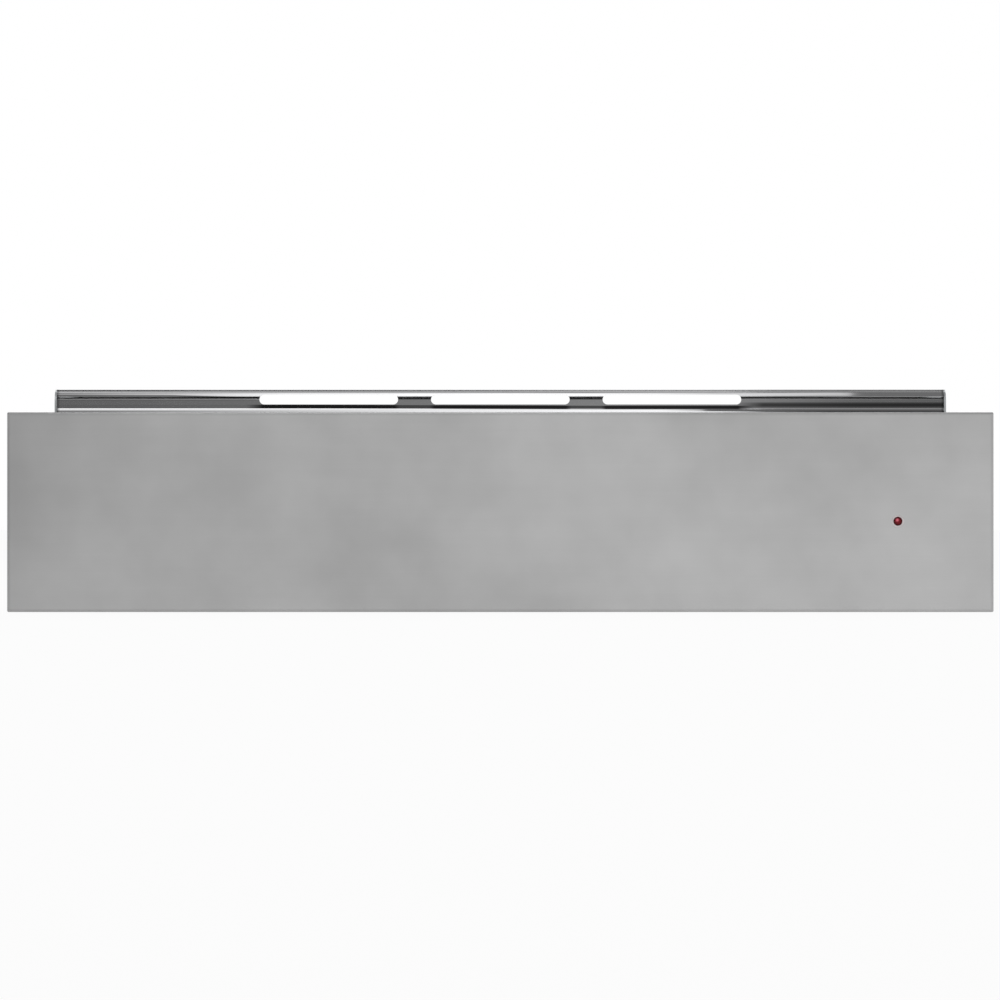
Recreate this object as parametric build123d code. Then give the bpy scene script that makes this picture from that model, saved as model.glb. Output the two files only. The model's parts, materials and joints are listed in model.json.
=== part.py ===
from build123d import *
import os
from math import sqrt

# Built-in warming drawer for a 60 cm kitchen niche, closed, in millimetres.
# X runs along the front, the front looks towards -Y and +Z is up.
# The origin is the middle of the footprint, on the shelf that carries the appliance.

# ---------------------------------------------------------------- driving dimensions

# Front panel: a folded stainless skin, closed behind by a pressed tray.
FRONT_WIDTH = 595.0
FRONT_HEIGHT = 120.5
FRONT_DEPTH = 21.0
FRONT_SHEET = 1.0
FRONT_EDGE_RADIUS = 0.9
BACKING_SHEET = 1.0
BACKING_FLANGE = 8.0

# Indicator lamp in the front.
LAMP_FROM_SIDE = 18.15
LAMP_HEIGHT = 54.8
LENS_RADIUS = 2.6
LENS_PROUD = 0.8
LENS_LENGTH = 6.0
LAMP_SLEEVE_WALL = 0.5
LAMP_BEZEL_WIDTH = 0.6
LAMP_BEZEL_PROUD = 0.3
LAMP_TAIL = 16.0
LAMP_CLIP_WIDTH = 3.0
LAMP_CLIP_THICKNESS = 2.0

# Housing: folded sheets that stay in the cabinet.
HOUSING_WIDTH = 543.5
HOUSING_HEIGHT = 135.0
HOUSING_DEPTH = 519.0
FOOT_HEIGHT = 2.0
SIDE_SHEET = 1.2
PAN_SHEET = 1.0
REAR_SHEET = 1.0
COVER_SHEET = 1.0
PARTITION_SHEET = 1.0
PAN_FLANGE = 11.0
PAN_FRONT_FLANGE = 6.0
TOP_FLANGE = 14.0
COVER_FLANGE = 9.0
COVER_SETBACK = 2.7
PARTITION_FLANGE = 9.0
SIDE_CORNER_RADIUS = 7.0
PUSH_GAP = 3.5

# Slotted rail across the front of the housing. Bands are heights on its front.
RAIL_SHEET = 0.8
RAIL_TOP_FLANGE = 20.0
RAIL_LOW_FLANGE = 12.0
RAIL_LIP = 1.6
RAIL_UPPER_BAND = 2.6
RAIL_UPPER_SET = 2.2
RAIL_STEP = 1.6
RAIL_WEB = 6.0
RAIL_LOWER_BAND = 1.8
RAIL_LOWER_SET = 0.3
RAIL_LOW_LIP = 2.6
RAIL_BEND = 0.35
RAIL_TAB = 10.0
SLOT_COUNT = 3
SLOT_PITCH = 104.7
SLOT_LENGTH = 84.6
SLOT_HEIGHT = 6.0
SLOT_DROP = 6.1

# Feet and stiffening forms pressed into the sheets.
FOOT_RADIUS = 9.0
FOOT_FLARE = 4.0
FOOT_SPACING_X = 450.0
FOOT_FRONT_EDGE = 54.0
FOOT_REAR_EDGE = 34.0
BEAD_LENGTH = 360.0
BEAD_WIDTH = 12.0
BEAD_DEPTH = 1.2
BEAD_HEIGHT = 104.0
RIB_LENGTH = 380.0
RIB_WIDTH = 16.0
RIB_HEIGHT = 2.0
RIB_ROWS = 3
PAN_RIB_LENGTH = 330.0

# Cabinet screws through the side panels.
CABINET_HOLE_RADIUS = 2.25
CABINET_HOLE_INSET = 14.0
CABINET_HOLE_HEIGHT = 16.0
CABINET_HOLE_SPACING = 80.0

# Sheet-metal screws.
SCREW_RADIUS = 1.5
SCREW_HEX = 6.0
SCREW_HEAD_HEIGHT = 2.2
SCREW_REACH = 2.0
SCREW_CLEARANCE = 0.05

# Ball-bearing runners: three C-shaped members, with balls between their flanges.
RUNNER_THICKNESS = 12.7
RUNNER_HEIGHT = 45.0
RUNNER_WALL = 1.2
RUNNER_LENGTH = 445.0
RUNNER_FRONT_GAP = 3.5
RUNNER_MIDDLE_SHORTER = 15.0
RUNNER_INNER_SHORTER = 7.0
RUNNER_MIDDLE_INSET = 2.0
RUNNER_CENTRE_HEIGHT = 50.0
RUNNER_SLIT = 1.1
RUNNER_GAP = 0.3
RUNNER_ROUNDING = 0.9
OUTER_BALL_GAP = 4.0
INNER_BALL_GAP = 3.2
RACE_DEPTH = 0.25
BALL_CLEARANCE = 0.1
BALLS_PER_ROW = 2
CAGE_SHEET = 0.6
CAGE_LENGTH = 120.0
CAGE_FRONT_INSET = 106.0

# Drawer: tray, and a bay for the controls between tray and front.
DRAWER_SHEET = 1.0
DRAWER_FLOOR_GAP = 9.0
DRAWER_TOP_GAP = 17.6
DRAWER_LIP = 5.0
DRAWER_CORNER = 3.0
DRAWER_REAR_SPACE = 14.5
BAY_DEPTH = 62.0
BAY_SHEET = 1.0
FASCIA_SHEET = 1.5
FASCIA_OVERLAP = 4.5
GLASS_THICKNESS = 4.0
GLASS_GAP = 0.6
GLASS_CORNER = 6.0
GLASS_BEVEL = 0.6
MAT_THICKNESS = 1.8
MAT_INSET = 3.0
MAT_CORNER = 9.0
MAT_EDGE_RADIUS = 0.6
AIR_SLOT_WIDTH = 5.0
AIR_SLOT_PITCH = 15.0
INLET_SLOT_HEIGHT = 12.0
OUTLET_SLOT_INSET = 2.0
REAR_VENT_LENGTH = 36.0
REAR_VENT_COUNT = 5
BAY_VENT_COUNT = 6

# Controls on the fascia.
KNOB_FROM_SIDE = 109.85
KNOB_RADIUS = 15.0
KNOB_SKIRT = 2.4
KNOB_HEIGHT = 9.4
KNOB_GRIP_RADIUS = 11.4
KNOB_TOP_RADIUS = 10.2
KNOB_GAP = 0.4
KNOB_FLUTES = 12
KNOB_FLUTE_RADIUS = 1.4
KNOB_SHOULDER = 0.8
KNOB_BEVEL = 0.6
KNOB_FLUTE_END = 1.2
POINTER_WIDTH = 1.2
POINTER_DEPTH = 0.6
POINTER_START = 2.0
SPINDLE_RADIUS = 3.0
SPINDLE_FLAT = 1.2
SPINDLE_IN_KNOB = 5.5
SPINDLE_IN_BODY = 14.0
THREAD_RADIUS = 4.5
THREAD_PROUD = 2.4
NUT_WIDTH = 14.0
NUT_THICKNESS = 1.6
POT_SIZE = 26.0
POT_HEIGHT = 12.0
ROCKER_FROM_SIDE = 57.85
ROCKER_WIDTH = 14.0
ROCKER_RADIUS = 11.5
ROCKER_HIGH = 4.6
ROCKER_LOW = 3.2
ROCKER_CHORD = 6.0
ROCKER_TILT = 10.0
ROCKER_PIN_RADIUS = 1.5
ROCKER_PIN_LENGTH = 1.8
ROCKER_SINK = 1.0
ROCKER_GAP = 0.4
SWITCH_WALL = 2.5
SWITCH_BEZEL = 1.2
SWITCH_FLANGE = 1.6
SWITCH_DEPTH = 20.0
SWITCH_CORNER = 2.0
SWITCH_BEVEL = 0.4
RUNNING_FIT = 0.04

# Push-to-open latch behind the drawer.
LATCH_FROM_SIDE = 72.85
LATCH_HEIGHT = 40.0
LATCH_SIZE = 24.0
LATCH_LENGTH = 54.0
LATCH_BACK_WALL = 3.0
LATCH_FLANGE = 44.0
LATCH_FLANGE_SHEET = 2.0
PLUNGER_RADIUS = 4.0
PLUNGER_LENGTH = 60.0
PLUNGER_HEAD_RADIUS = 7.0
PLUNGER_HEAD = 4.0
PLUNGER_FIT = 0.1
PLUNGER_OPENING_GAP = 1.0
CASE_CORNER = 3.0
STRIKER_SIZE = 30.0
STRIKER_SHEET = 1.5
BUFFER_FROM_SIDE = 35.85
BUFFER_RADIUS = 6.0
BUFFER_SPARE = 3.5

# Blower: a drum-shaped crossflow wheel in a sheet scroll, behind the partition.
BLOWER_BAY = 61.5
BLOWER_X = 15.0
BLOWER_LENGTH = 180.0
WHEEL_RADIUS = 20.0
WHEEL_BLADE_DEPTH = 4.6
WHEEL_BLADE_SHEET = 0.8
WHEEL_BLADES = 16
WHEEL_DISC = 1.2
WHEEL_END_GAP = 3.0
WHEEL_HUB_RADIUS = 5.0
WHEEL_HUB_LENGTH = 12.0
WHEEL_SETBACK = 29.2
WHEEL_HEIGHT = 53.0
SCROLL_SHEET = 1.0
SCROLL_OUTLET_FLOOR = 19.0
SCROLL_OUTLET = 20.0
SCROLL_GAP = 4.0
TONGUE_LENGTH = 7.0
TONGUE_RISE = 8.0
TONGUE_LEAN = 2.0
SCROLL_CORNER = 6.0
FAN_BUSH_RADIUS = 6.0
FAN_BUSH_LENGTH = 6.0
SHAFT_RADIUS = 2.0
SHAFT_FIT = 0.03

# Shaded-pole motor at the end of the scroll.
STATOR_WIDTH = 44.0
STATOR_ABOVE = 18.0
STATOR_BELOW = 38.0
STATOR_THICKNESS = 18.0
STATOR_LEG = 11.0
STATOR_WINDOW_WIDTH = 27.0
STATOR_WINDOW_HEIGHT = 11.0
ROTOR_RADIUS = 12.7
ROTOR_GAP = 0.3
COIL_BUILD = 5.0
COIL_LENGTH = 25.0
COIL_HEIGHT_BUILD = 8.5
COIL_ROUNDING = 3.0
BRACKET_THICKNESS = 2.5
BRACKET_WIDTH = 9.0
BRACKET_SPAN = 36.0
BRACKET_BOSS_RADIUS = 7.0
BRACKET_BOSS_LENGTH = 5.0
BRACKET_SPACE = 9.0
BUSH_RADIUS = 4.5
STUD_RADIUS = 2.0
STUD_CLEARANCE = 0.1
SHAFT_TAIL = 3.0

# Tubular heating element in the outlet of the scroll.
HEATER_RADIUS = 3.2
HEATER_BEND = 4.5
HEATER_SETBACK = 10.0
HEATER_LIFT = 5.5
HEATER_END_GAP = 10.0
HEATER_TAIL = 14.0
HEATER_FIT = 0.1
HEATER_PIN_RADIUS = 1.2
HEATER_PIN_LENGTH = 8.0

# Small electrical pieces.
CUTOUT_RADIUS = 8.0
CUTOUT_HEIGHT = 7.0
CUTOUT_DROP = 24.0
CUTOUT_SETBACK = 46.0
CUTOUT_TAB = 6.0
CUTOUT_TAB_SHEET = 0.8
BOARD_SHIFT = 5.0
BOARD_LENGTH = 74.0
BOARD_WIDTH = 44.0
BOARD_SHEET = 1.6
BOARD_HEIGHT = 8.0
TRANSFORMER_SIZE = (28.0, 24.0, 22.0)
RELAY_SIZE = (20.0, 15.0, 16.0)
CONNECTOR_SIZE = (30.0, 9.0, 10.0)
CAPACITOR_RADIUS = 5.0
CAPACITOR_HEIGHT = 16.0
STANDOFF_RADIUS = 3.0
STANDOFF_INSET = 5.0
TERMINAL_LENGTH = 40.0
TERMINAL_WIDTH = 20.0
TERMINAL_HEIGHT = 22.0
TERMINAL_POLES = 3
TERMINAL_SCREW_RADIUS = 2.4
TERMINAL_WIRE_RADIUS = 2.0
GLAND_FROM_SIDE = 55.55
GLAND_HEIGHT = 62.0
GLAND_BORE_RADIUS = 3.6
GLAND_THREAD_RADIUS = 8.0
GLAND_HEX = 20.0
GLAND_PROJECTION = 5.7
GLAND_NUT = 4.5
GLAND_LENGTH = 14.0
GLAND_BEVEL = 1.2
SENSOR_FROM_SIDE = 129.85
SENSOR_HEIGHT = 98.0
SENSOR_RADIUS = 2.5
SENSOR_REACH = 8.0
SENSOR_FLANGE_RADIUS = 4.5
SENSOR_FLANGE = 1.5

# ------------------------------------------------------------------- derived places

TOTAL_DEPTH = LENS_PROUD + FRONT_DEPTH + PUSH_GAP + HOUSING_DEPTH + GLAND_PROJECTION
FRONT_Y = LENS_PROUD - TOTAL_DEPTH / 2
FRONT_BACK_Y = FRONT_Y + FRONT_DEPTH
HOUSING_Y = FRONT_BACK_Y + PUSH_GAP
REAR_Y = HOUSING_Y + HOUSING_DEPTH
REAR_IN_Y = REAR_Y - REAR_SHEET
PARTITION_BACK_Y = REAR_IN_Y - BLOWER_BAY
PARTITION_Y = PARTITION_BACK_Y - PARTITION_SHEET

BASE_Z = FOOT_HEIGHT
FLOOR_Z = BASE_Z + PAN_SHEET
TOP_Z = BASE_Z + HOUSING_HEIGHT
FRONT_TOP_Z = BASE_Z + FRONT_HEIGHT
LAMP_Z = BASE_Z + LAMP_HEIGHT

SIDE_X = HOUSING_WIDTH / 2
SIDE_IN_X = SIDE_X - SIDE_SHEET
RAIL_BACK_Y = HOUSING_Y + RAIL_TOP_FLANGE
RAIL_HEIGHT = (RAIL_LIP + RAIL_UPPER_BAND + RAIL_STEP + RAIL_WEB
               + RAIL_LOWER_BAND + RAIL_LOW_LIP)
RAIL_BOTTOM_Z = TOP_Z - RAIL_HEIGHT
COVER_Z = RAIL_BOTTOM_Z + RAIL_SHEET
COVER_TOP_Z = COVER_Z + COVER_SHEET

DRAWER_HALF = SIDE_IN_X - RUNNER_THICKNESS
LAMP_X = DRAWER_HALF - LAMP_FROM_SIDE
KNOB_X = DRAWER_HALF - KNOB_FROM_SIDE
ROCKER_X = DRAWER_HALF - ROCKER_FROM_SIDE
LATCH_X = DRAWER_HALF - LATCH_FROM_SIDE
BUFFER_X = DRAWER_HALF - BUFFER_FROM_SIDE
SENSOR_X = DRAWER_HALF - SENSOR_FROM_SIDE
GLAND_X = GLAND_FROM_SIDE - SIDE_IN_X
DRAWER_Z = FLOOR_Z + DRAWER_FLOOR_GAP
RIM_Z = COVER_Z - DRAWER_TOP_GAP
DRAWER_HEIGHT = RIM_Z - DRAWER_Z
FASCIA_TOP_Z = RIM_Z + FASCIA_SHEET
BAY_BACK_Y = FRONT_BACK_Y + BAY_DEPTH
CONTROL_Y = FRONT_BACK_Y + BAY_DEPTH / 2
DRAWER_BACK_Y = PARTITION_Y - DRAWER_REAR_SPACE
RUNNER_Y = HOUSING_Y + RUNNER_FRONT_GAP
RUNNER_Z = RUNNER_CENTRE_HEIGHT
LATCH_Z = LATCH_HEIGHT
STRIKER_Y = DRAWER_BACK_Y + STRIKER_SHEET

WHEEL_Y = PARTITION_BACK_Y + WHEEL_SETBACK
WHEEL_Z = FLOOR_Z + WHEEL_HEIGHT
SCROLL_X0 = BLOWER_X - BLOWER_LENGTH / 2
SCROLL_X1 = BLOWER_X + BLOWER_LENGTH / 2
BOARD_X = (GLAND_X + SCROLL_X0) / 2 + BOARD_SHIFT
OUTLET_Z = FLOOR_Z + SCROLL_OUTLET_FLOOR
OUTLET_TOP_Z = OUTLET_Z + SCROLL_OUTLET
SCROLL_TOP_Z = WHEEL_Z + WHEEL_RADIUS + SCROLL_GAP
INLET_Z = RIM_Z - DRAWER_LIP - INLET_SLOT_HEIGHT / 2


# ------------------------------------------------------------------ building blocks

def block(x, y, z):
    """A box between two limits along each axis."""
    size = Box(x[1] - x[0], y[1] - y[0], z[1] - z[0])
    return Pos((x[0] + x[1]) / 2, (y[0] + y[1]) / 2, (z[0] + z[1]) / 2) * size


def rod_x(radius, x, y, z):
    """A round bar along X between two limits."""
    return Pos((x[0] + x[1]) / 2, y, z) * Rot(0, 90, 0) * Cylinder(radius, x[1] - x[0])


def rod_y(radius, x, y, z):
    """A round bar along Y between two limits."""
    return Pos(x, (y[0] + y[1]) / 2, z) * Rot(90, 0, 0) * Cylinder(radius, y[1] - y[0])


def rod_z(radius, x, y, z):
    """A round bar along Z between two limits."""
    return Pos(x, y, (z[0] + z[1]) / 2) * Cylinder(radius, z[1] - z[0])


def prism_x(outline, x):
    """An outline drawn in (Y, Z), drawn out along X between two limits."""
    return extrude(Plane.YZ.offset(x[0]) * outline, amount=x[1] - x[0])


def prism_y(outline, y):
    """An outline drawn in (X, Z), drawn out along Y between two limits."""
    return extrude(Plane.XZ.offset(-y[1]) * outline, amount=y[1] - y[0])


def prism_z(outline, z):
    """An outline drawn in (X, Y), drawn out along Z between two limits."""
    return extrude(Plane.XY.offset(z[0]) * outline, amount=z[1] - z[0])


def spread(count, pitch):
    """Places of a centred row."""
    return [(index - (count - 1) / 2) * pitch for index in range(count)]


def grown(limits, by):
    """Two limits moved apart."""
    return limits[0] - by, limits[1] + by


def rib_up(length, width, height, sheet, place, z):
    """The raised skin and the hollow under a rib pressed upwards out of a sheet at z."""
    skin = prism_z(place * SlotOverall(length, width), (z, z + height))
    hollow = prism_z(place * SlotOverall(length - 2 * sheet, width - 2 * sheet),
                     (z - sheet, z + height - sheet))
    return skin, hollow


# --------------------------------------------------------------------- fastener sites

LOW_SCREW_Z = FLOOR_Z + PAN_FLANGE / 2
HIGH_SCREW_Z = COVER_TOP_Z + COVER_FLANGE / 2
SIDE_SCREW_Y = [HOUSING_Y + HOUSING_DEPTH * share for share in (0.2, 0.5, 0.9)]
REAR_SCREW_X = [HOUSING_WIDTH * share for share in (-0.4, -0.15, 0.15, 0.4)]
SCREW_HOLE = SCREW_RADIUS + SCREW_CLEARANCE
SIDE_SITES = [(y, z) for y in SIDE_SCREW_Y for z in (LOW_SCREW_Z, HIGH_SCREW_Z)]
REAR_SITES = [(x, z) for x in REAR_SCREW_X for z in (LOW_SCREW_Z, HIGH_SCREW_Z)]


def side_holes(x):
    """Screw holes along X, for both the side panels and the flanges behind them."""
    return [rod_x(SCREW_HOLE, x, y, z) for y, z in SIDE_SITES]


def rear_holes(y):
    """Screw holes along Y, for both the rear panel and the flanges before it."""
    return [rod_y(SCREW_HOLE, x, y, z) for x, z in REAR_SITES]


def screw(length):
    """A hexagon sheet-metal screw: its head lies on z = 0 and its shank points down."""
    head = prism_z(RegularPolygon(SCREW_HEX / 2, 6, major_radius=False), (0, SCREW_HEAD_HEIGHT))
    return head + rod_z(SCREW_RADIUS, 0, 0, (-length, 0))


# ---------------------------------------------------------------------------- housing

def base_pan():
    """The bottom sheet, with flanges up, feet pressed down and ribs pressed up."""
    inside = (FLOOR_Z, FLOOR_Z + PAN_FLANGE)
    pan = block((-SIDE_IN_X, SIDE_IN_X), (HOUSING_Y, REAR_IN_Y), (BASE_Z, FLOOR_Z + PAN_FLANGE))
    pan -= block((PAN_SHEET - SIDE_IN_X, SIDE_IN_X - PAN_SHEET),
                 (HOUSING_Y + PAN_SHEET, REAR_IN_Y - PAN_SHEET), inside)
    front_top = FLOOR_Z + PAN_FRONT_FLANGE
    pan -= block((-SIDE_IN_X, SIDE_IN_X), (HOUSING_Y, HOUSING_Y + 2 * CABINET_HOLE_INSET),
                 (front_top, FLOOR_Z + PAN_FLANGE))
    for y in (HOUSING_Y + FOOT_FRONT_EDGE, REAR_Y - FOOT_REAR_EDGE):
        for x in spread(2, FOOT_SPACING_X):
            place = Pos(x, y, BASE_Z)
            wide = FOOT_RADIUS + FOOT_FLARE
            outline = Polyline((0, -FOOT_HEIGHT), (FOOT_RADIUS, -FOOT_HEIGHT), (wide, 0),
                               (wide, PAN_SHEET), (wide - PAN_SHEET, PAN_SHEET),
                               (FOOT_RADIUS - PAN_SHEET, PAN_SHEET - FOOT_HEIGHT),
                               (0, PAN_SHEET - FOOT_HEIGHT), close=True)
            foot = revolve(Plane.XZ * make_face(outline), Axis.Z)
            pan -= place * Pos(0, 0, PAN_SHEET / 2) * Cylinder(wide, PAN_SHEET)
            pan += place * foot
    for y in spread(RIB_ROWS, PAN_RIB_LENGTH / RIB_ROWS):
        skin, hollow = rib_up(PAN_RIB_LENGTH, RIB_WIDTH, RIB_HEIGHT, PAN_SHEET, Pos(0, y), FLOOR_Z)
        pan = pan + skin - hollow
    holes = side_holes((-SIDE_X, SIDE_X)) + rear_holes((REAR_IN_Y - PAN_SHEET, REAR_Y))
    low = [hole for hole in holes if hole.center().Z < COVER_Z]
    return pan - low


def right_side_panel():
    """A side sheet: an inward flange on top, a pressed bead, and its screw holes."""
    panel = block((SIDE_IN_X, SIDE_X), (HOUSING_Y, REAR_Y), (BASE_Z, TOP_Z))
    corner = panel.edges().filter_by(Axis.X).group_by(Axis.Y)[0].sort_by(Axis.Z)[-1]
    panel = fillet(corner, SIDE_CORNER_RADIUS)
    panel += block((SIDE_IN_X - TOP_FLANGE, SIDE_IN_X), (RAIL_BACK_Y, REAR_IN_Y),
                   (TOP_Z - SIDE_SHEET, TOP_Z))
    place = Pos((HOUSING_Y + REAR_Y) / 2, BEAD_HEIGHT)
    bead = place * SlotOverall(BEAD_LENGTH, BEAD_WIDTH)
    groove = place * SlotOverall(BEAD_LENGTH - 2 * SIDE_SHEET, BEAD_WIDTH - 2 * SIDE_SHEET)
    panel += prism_x(bead, (SIDE_IN_X - BEAD_DEPTH, SIDE_IN_X))
    panel -= prism_x(groove, (SIDE_X - BEAD_DEPTH, SIDE_X))
    for z in (CABINET_HOLE_HEIGHT, CABINET_HOLE_HEIGHT + CABINET_HOLE_SPACING):
        panel -= rod_x(CABINET_HOLE_RADIUS, (SIDE_IN_X, SIDE_X), HOUSING_Y + CABINET_HOLE_INSET, z)
    return panel - side_holes((SIDE_IN_X, SIDE_X))


def rear_panel():
    """The rear sheet: a flange on top, two groups of air slots, and the cable hole."""
    panel = block((-SIDE_IN_X, SIDE_IN_X), (REAR_IN_Y, REAR_Y), (BASE_Z, TOP_Z))
    reach = SIDE_IN_X - TOP_FLANGE
    panel += block((-reach, reach), (REAR_IN_Y - COVER_FLANGE, REAR_IN_Y), (TOP_Z - REAR_SHEET, TOP_Z))
    panel -= rod_y(GLAND_THREAD_RADIUS, GLAND_X, (REAR_IN_Y, REAR_Y), GLAND_HEIGHT)
    for middle in (BOARD_X, LATCH_X):
        for x in spread(REAR_VENT_COUNT, AIR_SLOT_PITCH):
            vent = Pos(middle + x, WHEEL_Z) * Rectangle(AIR_SLOT_WIDTH, REAR_VENT_LENGTH)
            panel -= prism_y(vent, (REAR_IN_Y, REAR_Y))
    return panel - rear_holes((REAR_IN_Y, REAR_Y))


def top_cover():
    """The lid over the heated space, sunk below the top flanges, with pressed ribs."""
    top = COVER_TOP_Z + COVER_FLANGE
    start = HOUSING_Y + COVER_SETBACK
    cover = block((-SIDE_IN_X, SIDE_IN_X), (start, REAR_IN_Y), (COVER_Z, COVER_TOP_Z))
    for inner in (-SIDE_IN_X, SIDE_IN_X - COVER_SHEET):
        cover += block((inner, inner + COVER_SHEET), (RAIL_BACK_Y, REAR_IN_Y), (COVER_TOP_Z, top))
    cover += block((-SIDE_IN_X, SIDE_IN_X), (REAR_IN_Y - COVER_SHEET, REAR_IN_Y), (COVER_TOP_Z, top))
    for y in spread(RIB_ROWS, RIB_LENGTH / RIB_ROWS):
        skin, hollow = rib_up(RIB_LENGTH, RIB_WIDTH, RIB_HEIGHT, COVER_SHEET, Pos(0, y), COVER_TOP_Z)
        cover = cover + skin - hollow
    holes = side_holes((-SIDE_X, SIDE_X)) + rear_holes((REAR_IN_Y - COVER_SHEET, REAR_Y))
    high = [hole for hole in holes if hole.center().Z > COVER_Z]
    return cover - high


def front_rail():
    """The roll-formed rail: two bright sloping bands, a slotted web and two flanges."""
    back = RAIL_UPPER_SET
    web = RAIL_STEP
    z = TOP_Z
    front = [(HOUSING_Y + RAIL_TOP_FLANGE, z), (HOUSING_Y + back, z)]
    for step, depth in ((RAIL_LIP, back), (RAIL_UPPER_BAND, 0), (RAIL_STEP, web), (RAIL_WEB, web),
                        (RAIL_LOWER_BAND, RAIL_LOWER_SET), (RAIL_LOW_LIP, RAIL_LOWER_SET)):
        z -= step
        front.append((HOUSING_Y + depth, z))
    front.append((HOUSING_Y + RAIL_LOW_FLANGE, z))
    strip = offset(Polyline(*front), amount=RAIL_SHEET, side=Side.LEFT, kind=Kind.INTERSECTION)
    section = make_face(strip.edges())
    corners = [v for v in section.vertices()
               if any(abs(v.X - y) + abs(v.Y - h) < 1e-6 for y, h in front[1:-1])]
    section = fillet(corners, RAIL_BEND)
    rail = prism_x(section, (-SIDE_IN_X, SIDE_IN_X))
    for x in spread(SLOT_COUNT, SLOT_PITCH):
        slot = Pos(x, TOP_Z - SLOT_DROP) * SlotOverall(SLOT_LENGTH, SLOT_HEIGHT)
        rail -= prism_y(slot, (HOUSING_Y - 1, RAIL_BACK_Y + 1))
    for inner in (-SIDE_IN_X, SIDE_IN_X - RAIL_SHEET):
        rail += block((inner, inner + RAIL_SHEET), (RAIL_BACK_Y - RAIL_TAB, RAIL_BACK_Y),
                      (TOP_Z - RAIL_TAB, TOP_Z))
    return rail


def air_slots(y):
    """The blower's outlet and return slots, alike in the partition and the drawer."""
    cuts = []
    for x in spread(int(BLOWER_LENGTH / AIR_SLOT_PITCH), AIR_SLOT_PITCH):
        limits = grown((BLOWER_X + x, BLOWER_X + x), AIR_SLOT_WIDTH / 2)
        cuts.append(block(limits, y, grown((OUTLET_Z, OUTLET_TOP_Z), -OUTLET_SLOT_INSET)))
        cuts.append(block(limits, y, (INLET_Z - INLET_SLOT_HEIGHT, INLET_Z)))
    return cuts


def rear_partition():
    """The wall between the heated space and the blower, with flanges facing forward."""
    wall = block((-SIDE_IN_X, SIDE_IN_X), (PARTITION_Y, PARTITION_BACK_Y), (FLOOR_Z, COVER_Z))
    reach = SIDE_IN_X - PAN_SHEET
    for z in (FLOOR_Z, COVER_Z - PARTITION_SHEET):
        wall += block((-reach, reach), (PARTITION_Y - PARTITION_FLANGE, PARTITION_Y),
                      (z, z + PARTITION_SHEET))
    for inner in (-SIDE_IN_X, reach):
        wall -= block((inner, inner + PAN_SHEET), (PARTITION_Y, PARTITION_BACK_Y),
                      (FLOOR_Z, FLOOR_Z + PAN_FLANGE))
    wall -= rod_y(PLUNGER_HEAD_RADIUS + PLUNGER_OPENING_GAP, LATCH_X, (PARTITION_Y, PARTITION_BACK_Y), LATCH_Z)
    wall -= rod_y(SENSOR_RADIUS, SENSOR_X, (PARTITION_Y, PARTITION_BACK_Y), SENSOR_HEIGHT)
    return wall - air_slots((PARTITION_Y, PARTITION_BACK_Y))


def housing_screws():
    """The screws that hold the side panels and the rear panel to the flanges."""
    screws = []
    for y, z in SIDE_SITES:
        length = SIDE_SHEET + PAN_SHEET + SCREW_REACH
        screws.append(Pos(SIDE_X, y, z) * Rot(0, 90, 0) * screw(length))
        screws.append(Pos(-SIDE_X, y, z) * Rot(0, -90, 0) * screw(length))
    for x, z in REAR_SITES:
        length = REAR_SHEET + PAN_SHEET + SCREW_REACH
        screws.append(Pos(x, REAR_Y, z) * Rot(-90, 0, 0) * screw(length))
    return screws


def rear_buffers():
    """Two rubber stops that the drawer meets when it is pushed in too far."""
    reach = DRAWER_REAR_SPACE - BUFFER_SPARE
    return [rod_y(BUFFER_RADIUS, x, (PARTITION_Y - reach, PARTITION_Y), LATCH_Z)
            for x in (-BUFFER_X, BUFFER_X)]


# ---------------------------------------------------------------------------- runners

OUTER_RACE = RUNNER_HEIGHT / 2 - RUNNER_WALL
MIDDLE_HALF = OUTER_RACE - OUTER_BALL_GAP
MIDDLE_RACE = MIDDLE_HALF - RUNNER_WALL
INNER_HALF = MIDDLE_RACE - INNER_BALL_GAP
OUTER_ROW = OUTER_RACE - OUTER_BALL_GAP / 2
INNER_ROW = MIDDLE_RACE - INNER_BALL_GAP / 2
OUTER_RACE_RADIUS = OUTER_BALL_GAP / 2 + RACE_DEPTH
INNER_RACE_RADIUS = INNER_BALL_GAP / 2 + RACE_DEPTH
# Depths are measured from the side panel towards the drawer.
OUTER_CAGE_AT = RUNNER_WALL + RUNNER_GAP
MIDDLE_AT = OUTER_CAGE_AT + CAGE_SHEET + RUNNER_GAP
INNER_CAGE_AT = MIDDLE_AT + RUNNER_WALL + RUNNER_GAP
BALL_AT = INNER_CAGE_AT + CAGE_SHEET + OUTER_RACE_RADIUS + RUNNER_GAP
OUTER_REACH = RUNNER_THICKNESS - RUNNER_SLIT
MIDDLE_REACH = OUTER_REACH - CAGE_SHEET
CAGE_REACH = MIDDLE_REACH - CAGE_SHEET


def channel(depth, half, wall, y, web_first=True):
    """A C-shaped member on the right side, its web next to the panel or the drawer."""
    limits = (SIDE_IN_X - depth[1], SIDE_IN_X - depth[0])
    member = block(limits, y, (RUNNER_Z - half, RUNNER_Z + half))
    web_side = member.faces().sort_by(Axis.X)[-1 if web_first else 0]
    member = fillet(web_side.edges().filter_by(Axis.Y), RUNNER_ROUNDING * wall / RUNNER_WALL)
    if web_first:
        hollow = (limits[0] - wall, limits[1] - wall)
    else:
        hollow = (limits[0] + wall, limits[1] + wall)
    return member - block(hollow, y, (RUNNER_Z - half + wall, RUNNER_Z + half - wall))


def race(radius, row, y):
    """The two round grooves that a row of balls above and below runs in."""
    return [rod_y(radius, SIDE_IN_X - BALL_AT, y, RUNNER_Z + side * row) for side in (-1, 1)]


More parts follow.
